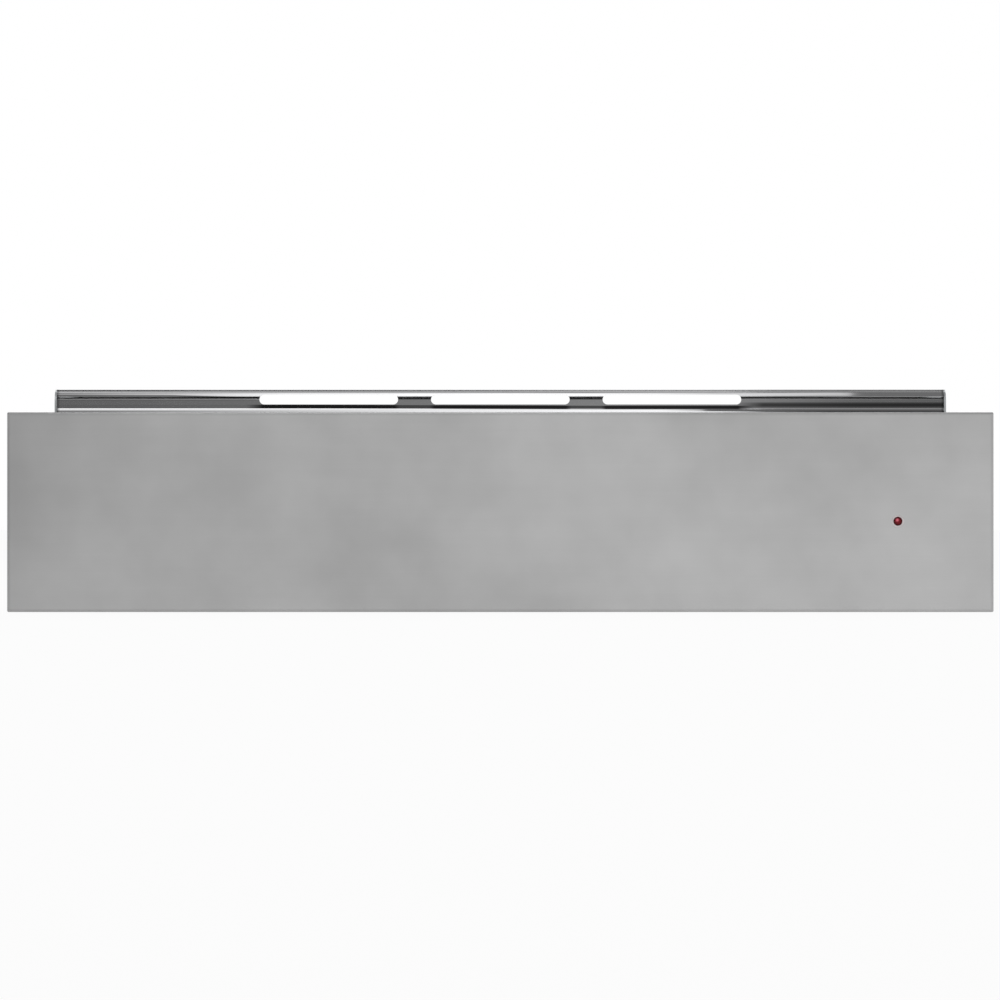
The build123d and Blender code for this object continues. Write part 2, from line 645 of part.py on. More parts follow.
def right_runner_outer():
    """The cabinet member, on the side panel."""
    y = (RUNNER_Y, RUNNER_Y + RUNNER_LENGTH)
    member = channel((0, OUTER_REACH), RUNNER_HEIGHT / 2, RUNNER_WALL, y)
    return member - race(OUTER_RACE_RADIUS, OUTER_ROW, y)


def right_runner_middle():
    """The middle member, which runs out half as far as the drawer."""
    start = RUNNER_Y + RUNNER_MIDDLE_INSET
    y = (start, start + RUNNER_LENGTH - RUNNER_MIDDLE_SHORTER)
    member = channel((MIDDLE_AT, MIDDLE_REACH), MIDDLE_HALF, RUNNER_WALL, y)
    return member - race(OUTER_RACE_RADIUS, OUTER_ROW, y) - race(INNER_RACE_RADIUS, INNER_ROW, y)


def right_runner_inner():
    """The drawer member, on the side of the drawer."""
    y = (RUNNER_Y, RUNNER_Y + RUNNER_LENGTH - RUNNER_INNER_SHORTER)
    depth = (INNER_CAGE_AT + CAGE_SHEET + RUNNER_GAP, RUNNER_THICKNESS)
    member = channel(depth, INNER_HALF, RUNNER_WALL, y, web_first=False)
    return member - race(INNER_RACE_RADIUS, INNER_ROW, y)


def ball_cage(at, row, race_radius):
    """A folded retainer strip and the loose balls that it spaces."""
    start = RUNNER_Y + CAGE_FRONT_INSET
    y = (start, start + CAGE_LENGTH)
    half = row + CAGE_SHEET / 2
    cage = channel((at, CAGE_REACH), half, CAGE_SHEET, y)
    ball_radius = race_radius - BALL_CLEARANCE
    balls = []
    for along in spread(BALLS_PER_ROW, CAGE_LENGTH / BALLS_PER_ROW):
        for side in (-1, 1):
            place = Pos(SIDE_IN_X - BALL_AT, start + CAGE_LENGTH / 2 + along, RUNNER_Z + side * row)
            balls.append(place * Sphere(ball_radius))
            cage -= place * Cylinder(ball_radius + BALL_CLEARANCE, 2 * CAGE_SHEET)
    return [cage] + balls


# ----------------------------------------------------------------------------- blower

def blower_scroll():
    """Two end plates with the spiral back wall and the tongue rolled between them."""
    low = make_line_floor()
    back = offset(low, amount=SCROLL_SHEET, side=Side.RIGHT, kind=Kind.INTERSECTION)
    tongue_line = Polyline((PARTITION_BACK_Y, OUTLET_TOP_Z),
                           (PARTITION_BACK_Y + TONGUE_LENGTH, OUTLET_TOP_Z),
                           (PARTITION_BACK_Y + TONGUE_LENGTH - TONGUE_LEAN, OUTLET_TOP_Z + TONGUE_RISE))
    tongue = offset(tongue_line, amount=SCROLL_SHEET, side=Side.LEFT, kind=Kind.INTERSECTION)
    walls = [prism_x(make_face(line.edges()), (SCROLL_X0, SCROLL_X1)) for line in (back, tongue)]
    y = (PARTITION_BACK_Y, WHEEL_Y + WHEEL_RADIUS + 2 * SCROLL_GAP + SCROLL_SHEET)
    ends = []
    for x in (SCROLL_X0 - SCROLL_SHEET, SCROLL_X1):
        plate = block((x, x + SCROLL_SHEET), y, (FLOOR_Z, SCROLL_TOP_Z + SCROLL_SHEET))
        plate = fillet(plate.edges().filter_by(Axis.X).group_by(Axis.Z)[-1], SCROLL_CORNER)
        plate -= rod_x(FAN_BUSH_RADIUS, (x, x + SCROLL_SHEET), WHEEL_Y, WHEEL_Z)
        ends.append(plate)
    for z in heater_rows():
        ends[0] -= rod_x(HEATER_RADIUS + HEATER_FIT, (SCROLL_X0 - SCROLL_SHEET, SCROLL_X0), HEATER_Y, z)
    return ends[0] + walls[0] + walls[1] + ends[1]


def make_line_floor():
    """The inner line of the scroll: flat outlet floor, rising round the wheel."""
    rear = WHEEL_Y + WHEEL_RADIUS + 2 * SCROLL_GAP
    rise = WHEEL_Z - WHEEL_RADIUS / 4
    lower = rise - OUTLET_Z
    upper = SCROLL_TOP_Z - WHEEL_Z
    floor = Line((PARTITION_BACK_Y, OUTLET_Z), (rear - lower, OUTLET_Z))
    first = ThreePointArc(floor @ 1, (rear - lower * (1 - sqrt(0.5)), rise - lower * sqrt(0.5)),
                          (rear, rise))
    wall = Line((rear, rise), (rear, WHEEL_Z))
    last = ThreePointArc((rear, WHEEL_Z),
                         (rear - upper * (1 - sqrt(0.5)), WHEEL_Z + upper * sqrt(0.5)),
                         (rear - upper, SCROLL_TOP_Z))
    return Wire([floor, first, wall, last])


HEATER_Y = PARTITION_BACK_Y + HEATER_SETBACK


def heater_rows():
    """Heights of the two straight runs of the heating element."""
    low = OUTLET_Z + HEATER_LIFT
    return low, low + 2 * HEATER_BEND


def heating_element():
    """A sheathed hairpin in the scroll's outlet, with its two connection pins."""
    low, high = heater_rows()
    ends = (SCROLL_X0 - HEATER_TAIL, SCROLL_X1 - HEATER_END_GAP - HEATER_BEND)
    path = Line((ends[0], low), (ends[1], low))
    bend = ThreePointArc((ends[1], low), (ends[1] + HEATER_BEND, (low + high) / 2), (ends[1], high))
    back = Line((ends[1], high), (ends[0], high))
    route = Plane.XZ.offset(-HEATER_Y) * Wire([path, bend, back])
    tube = sweep(Plane((ends[0], HEATER_Y, low), z_dir=(1, 0, 0)) * Circle(HEATER_RADIUS), path=route)
    for z in (low, high):
        tube += rod_x(HEATER_PIN_RADIUS, (ends[0] - HEATER_PIN_LENGTH, ends[0]), HEATER_Y, z)
    return tube


def blower_bush():
    """The sintered bush at the free end of the wheel."""
    x = (SCROLL_X0 - FAN_BUSH_LENGTH + SCROLL_SHEET, SCROLL_X0 + SCROLL_SHEET)
    return rod_x(FAN_BUSH_RADIUS, x, WHEEL_Y, WHEEL_Z) - rod_x(SHAFT_RADIUS + SHAFT_FIT, x, WHEEL_Y, WHEEL_Z)


WHEEL_X0 = SCROLL_X0 + WHEEL_END_GAP
WHEEL_X1 = SCROLL_X1 - WHEEL_END_GAP


def fan_wheel():
    """The crossflow wheel: curved blades between discs, a stub and a hub."""
    outer = WHEEL_RADIUS
    inner = WHEEL_RADIUS - WHEEL_BLADE_DEPTH
    curve = ThreePointArc((inner, 0), ((inner + outer) / 2, WHEEL_BLADE_DEPTH * 0.18),
                          (outer - 0.2, WHEEL_BLADE_DEPTH * 0.62))
    strip = offset(curve, amount=WHEEL_BLADE_SHEET, side=Side.LEFT, kind=Kind.INTERSECTION)
    blade = make_face(strip.edges())
    place = Plane((WHEEL_X0, WHEEL_Y, WHEEL_Z), x_dir=(0, 1, 0), z_dir=(1, 0, 0))
    length = WHEEL_X1 - WHEEL_X0
    blades = [extrude(place * Rot(0, 0, 360 / WHEEL_BLADES * turn) * blade, amount=length)
              for turn in range(WHEEL_BLADES)]
    middle = (WHEEL_X0 + WHEEL_X1 - WHEEL_DISC) / 2
    discs = [rod_x(outer, (x, x + WHEEL_DISC), WHEEL_Y, WHEEL_Z)
             for x in (WHEEL_X0, middle, WHEEL_X1 - WHEEL_DISC)]
    wheel = discs[0].fuse(*discs[1:], *blades)
    wheel += rod_x(SHAFT_RADIUS, (SCROLL_X0 - FAN_BUSH_LENGTH, WHEEL_X0), WHEEL_Y, WHEEL_Z)
    wheel += rod_x(WHEEL_HUB_RADIUS, (WHEEL_X1 - WHEEL_HUB_LENGTH, WHEEL_X1), WHEEL_Y, WHEEL_Z)
    return wheel - rod_x(SHAFT_RADIUS, (WHEEL_X1 - WHEEL_HUB_LENGTH, WHEEL_X1), WHEEL_Y, WHEEL_Z)


MOTOR_X = SCROLL_X1 + SCROLL_SHEET
STATOR_X = MOTOR_X + BRACKET_SPACE
STATOR_END_X = STATOR_X + STATOR_THICKNESS
MOTOR_END_X = STATOR_END_X + BRACKET_SPACE
LEG_Z = (WHEEL_Z - STATOR_BELOW, WHEEL_Z - STATOR_BELOW + STATOR_LEG)


def motor_stator():
    """The laminated stack: a bore for the rotor and a window for the coil."""
    half = STATOR_WIDTH / 2
    x = (STATOR_X, STATOR_END_X)
    stack = block(x, (WHEEL_Y - half, WHEEL_Y + half), (LEG_Z[0], WHEEL_Z + STATOR_ABOVE))
    stack = fillet(stack.edges().filter_by(Axis.X).group_by(Axis.Z)[-1], SCROLL_CORNER)
    stack -= rod_x(ROTOR_RADIUS + ROTOR_GAP, x, WHEEL_Y, WHEEL_Z)
    window = STATOR_WINDOW_WIDTH / 2
    stack -= block(x, (WHEEL_Y - window, WHEEL_Y + window), (LEG_Z[1], LEG_Z[1] + STATOR_WINDOW_HEIGHT))
    for y in spread(2, BRACKET_SPAN):
        stack -= rod_x(STUD_RADIUS + STUD_CLEARANCE, x, WHEEL_Y + y, WHEEL_Z)
    return stack


def motor_coil():
    """The winding round the lower leg of the stack."""
    half = COIL_LENGTH / 2
    y = (WHEEL_Y - half, WHEEL_Y + half)
    coil = block((STATOR_X - COIL_BUILD, STATOR_END_X + COIL_BUILD), y,
                 (LEG_Z[0] - COIL_HEIGHT_BUILD, LEG_Z[1] + COIL_HEIGHT_BUILD))
    coil = fillet(coil.edges().filter_by(Axis.Y), COIL_ROUNDING)
    return coil - block((STATOR_X, STATOR_END_X), y, LEG_Z)


def motor_brackets():
    """The two bearing brackets, one with the studs that hold the motor together."""
    brackets = []
    for x in (MOTOR_X, MOTOR_END_X - BRACKET_THICKNESS):
        outline = Pos(WHEEL_Y, WHEEL_Z) * SlotOverall(BRACKET_SPAN + BRACKET_WIDTH, BRACKET_WIDTH)
        strip = prism_x(outline, (x, x + BRACKET_THICKNESS))
        inward = (x, x + BRACKET_BOSS_LENGTH) if x == MOTOR_X else (
            x + BRACKET_THICKNESS - BRACKET_BOSS_LENGTH, x + BRACKET_THICKNESS)
        strip += rod_x(BRACKET_BOSS_RADIUS, inward, WHEEL_Y, WHEEL_Z)
        brackets.append(strip - rod_x(BUSH_RADIUS, inward, WHEEL_Y, WHEEL_Z))
    for y in spread(2, BRACKET_SPAN):
        brackets[0] += rod_x(STUD_RADIUS, (MOTOR_X + BRACKET_THICKNESS, MOTOR_END_X), WHEEL_Y + y, WHEEL_Z)
        brackets[1] -= rod_x(STUD_RADIUS, (STATOR_END_X, MOTOR_END_X), WHEEL_Y + y, WHEEL_Z)
    return brackets


def motor_bushes():
    """The bearings pressed into the two brackets."""
    bushes = []
    for x in ((MOTOR_X, MOTOR_X + BRACKET_BOSS_LENGTH), (MOTOR_END_X - BRACKET_BOSS_LENGTH, MOTOR_END_X)):
        bush = rod_x(BUSH_RADIUS, x, WHEEL_Y, WHEEL_Z)
        bushes.append(bush - rod_x(SHAFT_RADIUS + SHAFT_FIT, x, WHEEL_Y, WHEEL_Z))
    return bushes


def motor_rotor():
    """The rotor on the shaft that reaches into the hub of the wheel."""
    rotor = rod_x(ROTOR_RADIUS, (STATOR_X, STATOR_END_X), WHEEL_Y, WHEEL_Z)
    shaft = rod_x(SHAFT_RADIUS, (WHEEL_X1 - WHEEL_HUB_LENGTH, MOTOR_END_X + SHAFT_TAIL), WHEEL_Y, WHEEL_Z)
    return rotor + shaft


# ------------------------------------------------------------- small electrical pieces

def safety_cutout():
    """A thermal cut-out on the end plate of the scroll, with two tabs."""
    end = SCROLL_X0 - SCROLL_SHEET
    y = PARTITION_BACK_Y + CUTOUT_SETBACK
    z = WHEEL_Z - CUTOUT_DROP
    body = rod_x(CUTOUT_RADIUS, (end - CUTOUT_HEIGHT, end), y, z)
    for side in spread(2, CUTOUT_RADIUS):
        body += block((end - CUTOUT_HEIGHT - CUTOUT_TAB, end - CUTOUT_HEIGHT),
                      grown((y + side, y + side), CUTOUT_TAB_SHEET / 2), grown((z, z), CUTOUT_TAB / 2))
    return body


BOARD_Y = PARTITION_BACK_Y + BLOWER_BAY / 2
BOARD_Z = FLOOR_Z + BOARD_HEIGHT
BOARD_TOP_Z = BOARD_Z + BOARD_SHEET


def control_board():
    """The circuit board with its transformer, relay, capacitor and connector."""
    half_length = BOARD_LENGTH / 2
    half_width = BOARD_WIDTH / 2
    board = block((BOARD_X - half_length, BOARD_X + half_length),
                  (BOARD_Y - half_width, BOARD_Y + half_width), (BOARD_Z, BOARD_TOP_Z))

    def on_board(along, across, size):
        x = BOARD_X + along * half_length
        y = BOARD_Y + across * half_width
        return block(grown((x, x), size[0] / 2), grown((y, y), size[1] / 2),
                     (BOARD_TOP_Z, BOARD_TOP_Z + size[2]))

    capacitor = rod_z(CAPACITOR_RADIUS, BOARD_X + 0.1 * half_length, BOARD_Y + 0.5 * half_width,
                      (BOARD_TOP_Z, BOARD_TOP_Z + CAPACITOR_HEIGHT))
    return [board, on_board(-0.5, 0.1, TRANSFORMER_SIZE), on_board(0.55, 0.4, RELAY_SIZE),
            on_board(0.4, -0.6, CONNECTOR_SIZE), capacitor]


def board_standoffs():
    """Four posts between the base pan and the board."""
    return [rod_z(STANDOFF_RADIUS, BOARD_X + x, BOARD_Y + y, (FLOOR_Z, BOARD_Z))
            for x in spread(2, BOARD_LENGTH - 2 * STANDOFF_INSET)
            for y in spread(2, BOARD_WIDTH - 2 * STANDOFF_INSET)]


def terminal_block():
    """The mains terminals on the base pan, below the cable's way in."""
    body = block((GLAND_X - TERMINAL_LENGTH / 2, GLAND_X + TERMINAL_LENGTH / 2),
                 (BOARD_Y - TERMINAL_WIDTH / 2, BOARD_Y + TERMINAL_WIDTH / 2),
                 (FLOOR_Z, FLOOR_Z + TERMINAL_HEIGHT))
    for x in spread(TERMINAL_POLES, TERMINAL_LENGTH / TERMINAL_POLES):
        body -= rod_z(TERMINAL_SCREW_RADIUS, GLAND_X + x, BOARD_Y,
                      (FLOOR_Z + TERMINAL_HEIGHT / 2, FLOOR_Z + TERMINAL_HEIGHT))
        body -= rod_y(TERMINAL_WIRE_RADIUS, GLAND_X + x,
                      (BOARD_Y, BOARD_Y + TERMINAL_WIDTH / 2), FLOOR_Z + TERMINAL_HEIGHT / 3)
    return body


def cable_gland():
    """The gland in the rear panel: a hexagon outside and a thread through the sheet."""
    head = prism_y(Pos(GLAND_X, GLAND_HEIGHT) * RegularPolygon(GLAND_HEX / 2, 6, major_radius=False),
                   (REAR_Y, REAR_Y + GLAND_PROJECTION))
    head = chamfer(head.faces().sort_by(Axis.Y)[-1].edges(), GLAND_BEVEL)
    inner = REAR_Y + GLAND_PROJECTION - GLAND_LENGTH
    thread = rod_y(GLAND_THREAD_RADIUS, GLAND_X, (inner, REAR_Y), GLAND_HEIGHT)
    bore = rod_y(GLAND_BORE_RADIUS, GLAND_X, (inner, REAR_Y + GLAND_PROJECTION), GLAND_HEIGHT)
    return head + thread - bore


def gland_nut():
    """The lock nut inside the rear panel."""
    y = (REAR_IN_Y - GLAND_NUT, REAR_IN_Y)
    nut = prism_y(Pos(GLAND_X, GLAND_HEIGHT) * RegularPolygon(GLAND_HEX / 2, 6, major_radius=False), y)
    return nut - rod_y(GLAND_THREAD_RADIUS, GLAND_X, y, GLAND_HEIGHT)


def temperature_sensor():
    """The air probe clipped through the partition, in the returning air."""
    probe = rod_y(SENSOR_RADIUS, SENSOR_X, (PARTITION_Y - SENSOR_REACH, PARTITION_BACK_Y + SENSOR_REACH),
                  SENSOR_HEIGHT)
    return probe + rod_y(SENSOR_FLANGE_RADIUS, SENSOR_X, (PARTITION_Y - SENSOR_FLANGE, PARTITION_Y),
                         SENSOR_HEIGHT)


# ------------------------------------------------------------------ push-to-open latch

def push_latch_body():
    """The latch case behind the partition, bored for the plunger."""
    half = LATCH_SIZE / 2
    wide = LATCH_FLANGE / 2
    y = (PARTITION_BACK_Y, PARTITION_BACK_Y + LATCH_LENGTH)
    case = block((LATCH_X - half, LATCH_X + half), y, (LATCH_Z - half, LATCH_Z + half))
    case = fillet(case.edges().filter_by(Axis.Y), CASE_CORNER)
    case += block((LATCH_X - wide, LATCH_X + wide), (y[0], y[0] + LATCH_FLANGE_SHEET),
                  (LATCH_Z - half, LATCH_Z + half))
    return case - rod_y(PLUNGER_RADIUS + PLUNGER_FIT, LATCH_X, (y[0], y[1] - LATCH_BACK_WALL), LATCH_Z)


def push_latch_plunger():
    """The sprung plunger, whose head bears on the drawer's striker."""
    head = rod_y(PLUNGER_HEAD_RADIUS, LATCH_X, (STRIKER_Y, STRIKER_Y + PLUNGER_HEAD), LATCH_Z)
    return head + rod_y(PLUNGER_RADIUS, LATCH_X, (STRIKER_Y, STRIKER_Y + PLUNGER_LENGTH), LATCH_Z)


def striker_plate():
    """The plate on the drawer's rear wall that the plunger bears on."""
    half = STRIKER_SIZE / 2
    return block((LATCH_X - half, LATCH_X + half), (DRAWER_BACK_Y, STRIKER_Y),
                 (LATCH_Z - half, LATCH_Z + half))


# ----------------------------------------------------------------------------- drawer

def drawer_box():
    """The pressed tray: rounded corners, an inward lip, and air slots behind."""
    y = (BAY_BACK_Y, DRAWER_BACK_Y)
    tray = block((-DRAWER_HALF, DRAWER_HALF), y, (DRAWER_Z, RIM_Z))
    tray = fillet(tray.edges().filter_by(Axis.Z) + tray.faces().sort_by(Axis.Z)[0].edges(), DRAWER_CORNER)
    inner = DRAWER_HALF - DRAWER_SHEET
    cavity = block((-inner, inner), (y[0] + DRAWER_SHEET, y[1] - DRAWER_SHEET),
                   (DRAWER_Z + DRAWER_SHEET, RIM_Z - DRAWER_SHEET))
    round_edges = cavity.edges().filter_by(Axis.Z) + cavity.faces().sort_by(Axis.Z)[0].edges()
    tray -= fillet(round_edges, DRAWER_CORNER - DRAWER_SHEET)
    mouth = DRAWER_HALF - DRAWER_LIP
    tray -= block((-mouth, mouth), (y[0] + DRAWER_LIP, y[1] - DRAWER_LIP), (RIM_Z - DRAWER_SHEET, RIM_Z))
    return tray - air_slots((DRAWER_BACK_Y - DRAWER_SHEET, DRAWER_BACK_Y))


PLATE_X = DRAWER_HALF - DRAWER_LIP - GLASS_GAP
PLATE_Y = (BAY_BACK_Y + DRAWER_LIP + GLASS_GAP, DRAWER_BACK_Y - DRAWER_LIP - GLASS_GAP)
PLATE_Z = DRAWER_Z + DRAWER_SHEET
PLATE_TOP_Z = PLATE_Z + GLASS_THICKNESS


def base_plate():
    """The loose toughened glass plate in the tray."""
    plate = block((-PLATE_X, PLATE_X), PLATE_Y, (PLATE_Z, PLATE_TOP_Z))
    plate = fillet(plate.edges().filter_by(Axis.Z), GLASS_CORNER)
    return chamfer(plate.faces().sort_by(Axis.Z)[-1].edges(), GLASS_BEVEL)


def non_slip_mat():
    """The silicone mat on the glass."""
    x = PLATE_X - MAT_INSET
    mat = block((-x, x), (PLATE_Y[0] + MAT_INSET, PLATE_Y[1] - MAT_INSET),
                (PLATE_TOP_Z, PLATE_TOP_Z + MAT_THICKNESS))
    mat = fillet(mat.edges().filter_by(Axis.Z), MAT_CORNER)
    return fillet(mat.faces().sort_by(Axis.Z)[-1].edges(), MAT_EDGE_RADIUS)


FRONT_SCREW_X = [FRONT_WIDTH * share for share in (-0.36, 0, 0.36)]
FRONT_SCREW_Z = [DRAWER_Z + DRAWER_HEIGHT * share for share in (0.2, 0.78)]
FRONT_SITES = [(x, z) for x in FRONT_SCREW_X for z in FRONT_SCREW_Z]
SLEEVE_RADIUS = LENS_RADIUS + LAMP_SLEEVE_WALL
LAMP_HOLE = SLEEVE_RADIUS + SCREW_CLEARANCE


def front_holes(y):
    """The lamp's hole and the screw holes behind the front."""
    return [rod_y(LAMP_HOLE, LAMP_X, y, LAMP_Z)] + [rod_y(SCREW_HOLE, x, y, z) for x, z in FRONT_SITES]


def front_panel():
    """The visible stainless skin, folded back on all four sides."""
    half = FRONT_WIDTH / 2
    skin = block((-half, half), (FRONT_Y, FRONT_BACK_Y), (BASE_Z, FRONT_TOP_Z))
    edges = skin.faces().sort_by(Axis.Y)[0].edges() + skin.edges().filter_by(Axis.Y)
    skin = fillet(edges, FRONT_EDGE_RADIUS)
    inner = half - FRONT_SHEET
    skin -= block((-inner, inner), (FRONT_Y + FRONT_SHEET, FRONT_BACK_Y),
                  (BASE_Z + FRONT_SHEET, FRONT_TOP_Z - FRONT_SHEET))
    return skin - rod_y(LAMP_HOLE, LAMP_X, (FRONT_Y, FRONT_Y + FRONT_SHEET), LAMP_Z)


def front_backing():
    """The galvanised tray that closes and stiffens the front from behind."""
    half = FRONT_WIDTH / 2 - FRONT_SHEET
    z = (BASE_Z + FRONT_SHEET, FRONT_TOP_Z - FRONT_SHEET)
    tray = block((-half, half), (FRONT_BACK_Y - BACKING_FLANGE, FRONT_BACK_Y), z)
    tray -= block((BACKING_SHEET - half, half - BACKING_SHEET),
                  (FRONT_BACK_Y - BACKING_FLANGE, FRONT_BACK_Y - BACKING_SHEET),
                  (z[0] + BACKING_SHEET, z[1] - BACKING_SHEET))
    return tray - front_holes((FRONT_BACK_Y - BACKING_SHEET, FRONT_BACK_Y))


def control_bay():
    """The folded bay that joins front and tray and holds the controls."""
    bay = block((-DRAWER_HALF, DRAWER_HALF), (FRONT_BACK_Y, BAY_BACK_Y), (DRAWER_Z, RIM_Z))
    inner = DRAWER_HALF - BAY_SHEET
    bay -= block((-inner, inner), (FRONT_BACK_Y + BAY_SHEET, BAY_BACK_Y), (DRAWER_Z + BAY_SHEET, RIM_Z))
    for x in spread(BAY_VENT_COUNT, 4 * AIR_SLOT_PITCH):
        vent = Pos(x, CONTROL_Y) * Rectangle(AIR_SLOT_WIDTH, BAY_DEPTH / 2)
        bay -= prism_z(vent, (DRAWER_Z, DRAWER_Z + BAY_SHEET))
    return bay - front_holes((FRONT_BACK_Y, FRONT_BACK_Y + BAY_SHEET))


SWITCH_X = (ROCKER_X - ROCKER_WIDTH / 2 - ROCKER_GAP, ROCKER_X + ROCKER_WIDTH / 2 + ROCKER_GAP)
SWITCH_Y = (CONTROL_Y - ROCKER_RADIUS - ROCKER_GAP, CONTROL_Y + ROCKER_RADIUS + ROCKER_GAP)
PIVOT_Z = FASCIA_TOP_Z - ROCKER_SINK


def control_fascia():
    """The strip over the bay, seen when the drawer is open, bent down at its ends."""
    fascia = block((-DRAWER_HALF, DRAWER_HALF), (FRONT_BACK_Y, BAY_BACK_Y + FASCIA_OVERLAP),
                   (RIM_Z, FASCIA_TOP_Z))
    fascia = fillet(fascia.faces().sort_by(Axis.Z)[-1].edges().sort_by(Axis.Y)[-1], FASCIA_SHEET / 2)
    fascia -= rod_z(THREAD_RADIUS, KNOB_X, CONTROL_Y, (RIM_Z, FASCIA_TOP_Z))
    return fascia - block(grown(SWITCH_X, SWITCH_WALL), grown(SWITCH_Y, SWITCH_WALL), (RIM_Z, FASCIA_TOP_Z))


def front_screws():
    """The screws from the bay into the backing tray."""
    length = BAY_SHEET + BACKING_SHEET + SCREW_REACH
    return [Pos(x, FRONT_BACK_Y + BAY_SHEET, z) * Rot(-90, 0, 0) * screw(length) for x, z in FRONT_SITES]


def indicator_lens():
    """The red lens, slightly domed, proud of the front."""
    body = rod_y(LENS_RADIUS, LAMP_X, (FRONT_Y - LENS_PROUD, FRONT_Y - LENS_PROUD + LENS_LENGTH), LAMP_Z)
    return fillet(body.edges().sort_by(Axis.Y)[0], LENS_PROUD * 0.95)


def lamp_holder():
    """The lamp's sleeve with its thin bright rim on the front."""
    rim = SLEEVE_RADIUS + LAMP_BEZEL_WIDTH
    holder = rod_y(rim, LAMP_X, (FRONT_Y - LAMP_BEZEL_PROUD, FRONT_Y), LAMP_Z)
    end = FRONT_BACK_Y + LAMP_TAIL
    holder += rod_y(SLEEVE_RADIUS, LAMP_X, (FRONT_Y, end), LAMP_Z)
    bore_end = FRONT_Y - LENS_PROUD + LENS_LENGTH
    return holder - rod_y(LENS_RADIUS, LAMP_X, (FRONT_Y - LAMP_BEZEL_PROUD, bore_end), LAMP_Z)


def lamp_clip():
    """The push-on ring that holds the lamp from inside the bay."""
    y = (FRONT_BACK_Y + BAY_SHEET, FRONT_BACK_Y + BAY_SHEET + LAMP_CLIP_THICKNESS)
    ring = rod_y(SLEEVE_RADIUS + LAMP_CLIP_WIDTH, LAMP_X, y, LAMP_Z)
    return ring - rod_y(SLEEVE_RADIUS, LAMP_X, y, LAMP_Z)


def potentiometer():
    """The control below the fascia, with its threaded neck."""
    half = POT_SIZE / 2
    body = block((KNOB_X - half, KNOB_X + half), (CONTROL_Y - half, CONTROL_Y + half),
                 (RIM_Z - POT_HEIGHT, RIM_Z))
    body = fillet(body.edges().filter_by(Axis.Z), CASE_CORNER)
    body += rod_z(THREAD_RADIUS, KNOB_X, CONTROL_Y, (RIM_Z, FASCIA_TOP_Z + THREAD_PROUD))
    depth = FASCIA_TOP_Z + THREAD_PROUD
    return body - rod_z(SPINDLE_RADIUS + RUNNING_FIT, KNOB_X, CONTROL_Y, (SPINDLE_LOW_Z, depth))


KNOB_Z = FASCIA_TOP_Z + KNOB_GAP
SPINDLE_LOW_Z = FASCIA_TOP_Z + THREAD_PROUD - SPINDLE_IN_BODY
SPINDLE_TOP_Z = FASCIA_TOP_Z + THREAD_PROUD + SPINDLE_IN_KNOB


def spindle_nut():
    """The flat nut that clamps the control to the fascia."""
    outline = Pos(KNOB_X, CONTROL_Y) * RegularPolygon(NUT_WIDTH / 2, 6, major_radius=False)
    z = (FASCIA_TOP_Z, FASCIA_TOP_Z + NUT_THICKNESS)
    return prism_z(outline, z) - rod_z(THREAD_RADIUS, KNOB_X, CONTROL_Y, z)


def spindle():
    """The turned spindle, with its driving flat inside the knob."""
    bar = rod_z(SPINDLE_RADIUS, KNOB_X, CONTROL_Y, (SPINDLE_LOW_Z, SPINDLE_TOP_Z))
    flat = KNOB_X + SPINDLE_RADIUS - SPINDLE_FLAT
    top = FASCIA_TOP_Z + THREAD_PROUD
    return bar - block((flat, KNOB_X + SPINDLE_RADIUS), grown((CONTROL_Y, CONTROL_Y), SPINDLE_RADIUS),
                       (top, SPINDLE_TOP_Z))


def thermostat_knob():
    """The fluted knob: a skirt, a tapered grip and a pointer groove."""
    outline = Polyline((0, 0), (KNOB_RADIUS, 0), (KNOB_RADIUS, KNOB_SKIRT),
                       (KNOB_GRIP_RADIUS, KNOB_SKIRT + KNOB_SHOULDER), (KNOB_TOP_RADIUS, KNOB_HEIGHT),
                       (0, KNOB_HEIGHT), close=True)
    knob = revolve(Plane.XZ * make_face(outline), Axis.Z)
    knob = chamfer(knob.edges().filter_by(GeomType.CIRCLE).sort_by(Axis.Z)[-1], KNOB_BEVEL)
    for turn in range(KNOB_FLUTES):
        flute = Pos(KNOB_GRIP_RADIUS + KNOB_FLUTE_RADIUS * 0.3, 0, KNOB_HEIGHT)
        knob -= Rot(0, 0, 360 / KNOB_FLUTES * (turn + 0.5)) * flute * Cylinder(
            KNOB_FLUTE_RADIUS, 2 * (KNOB_HEIGHT - KNOB_SKIRT - KNOB_FLUTE_END))
    knob -= block(grown((0, 0), POINTER_WIDTH / 2), (-KNOB_TOP_RADIUS, -POINTER_START),
                  (KNOB_HEIGHT - POINTER_DEPTH, KNOB_HEIGHT))
    recess = THREAD_PROUD + KNOB_GAP
    knob -= Pos(0, 0, recess / 2) * Cylinder(NUT_WIDTH * 0.62, recess)
    placed = Pos(KNOB_X, CONTROL_Y, KNOB_Z) * knob
    return placed - spindle()


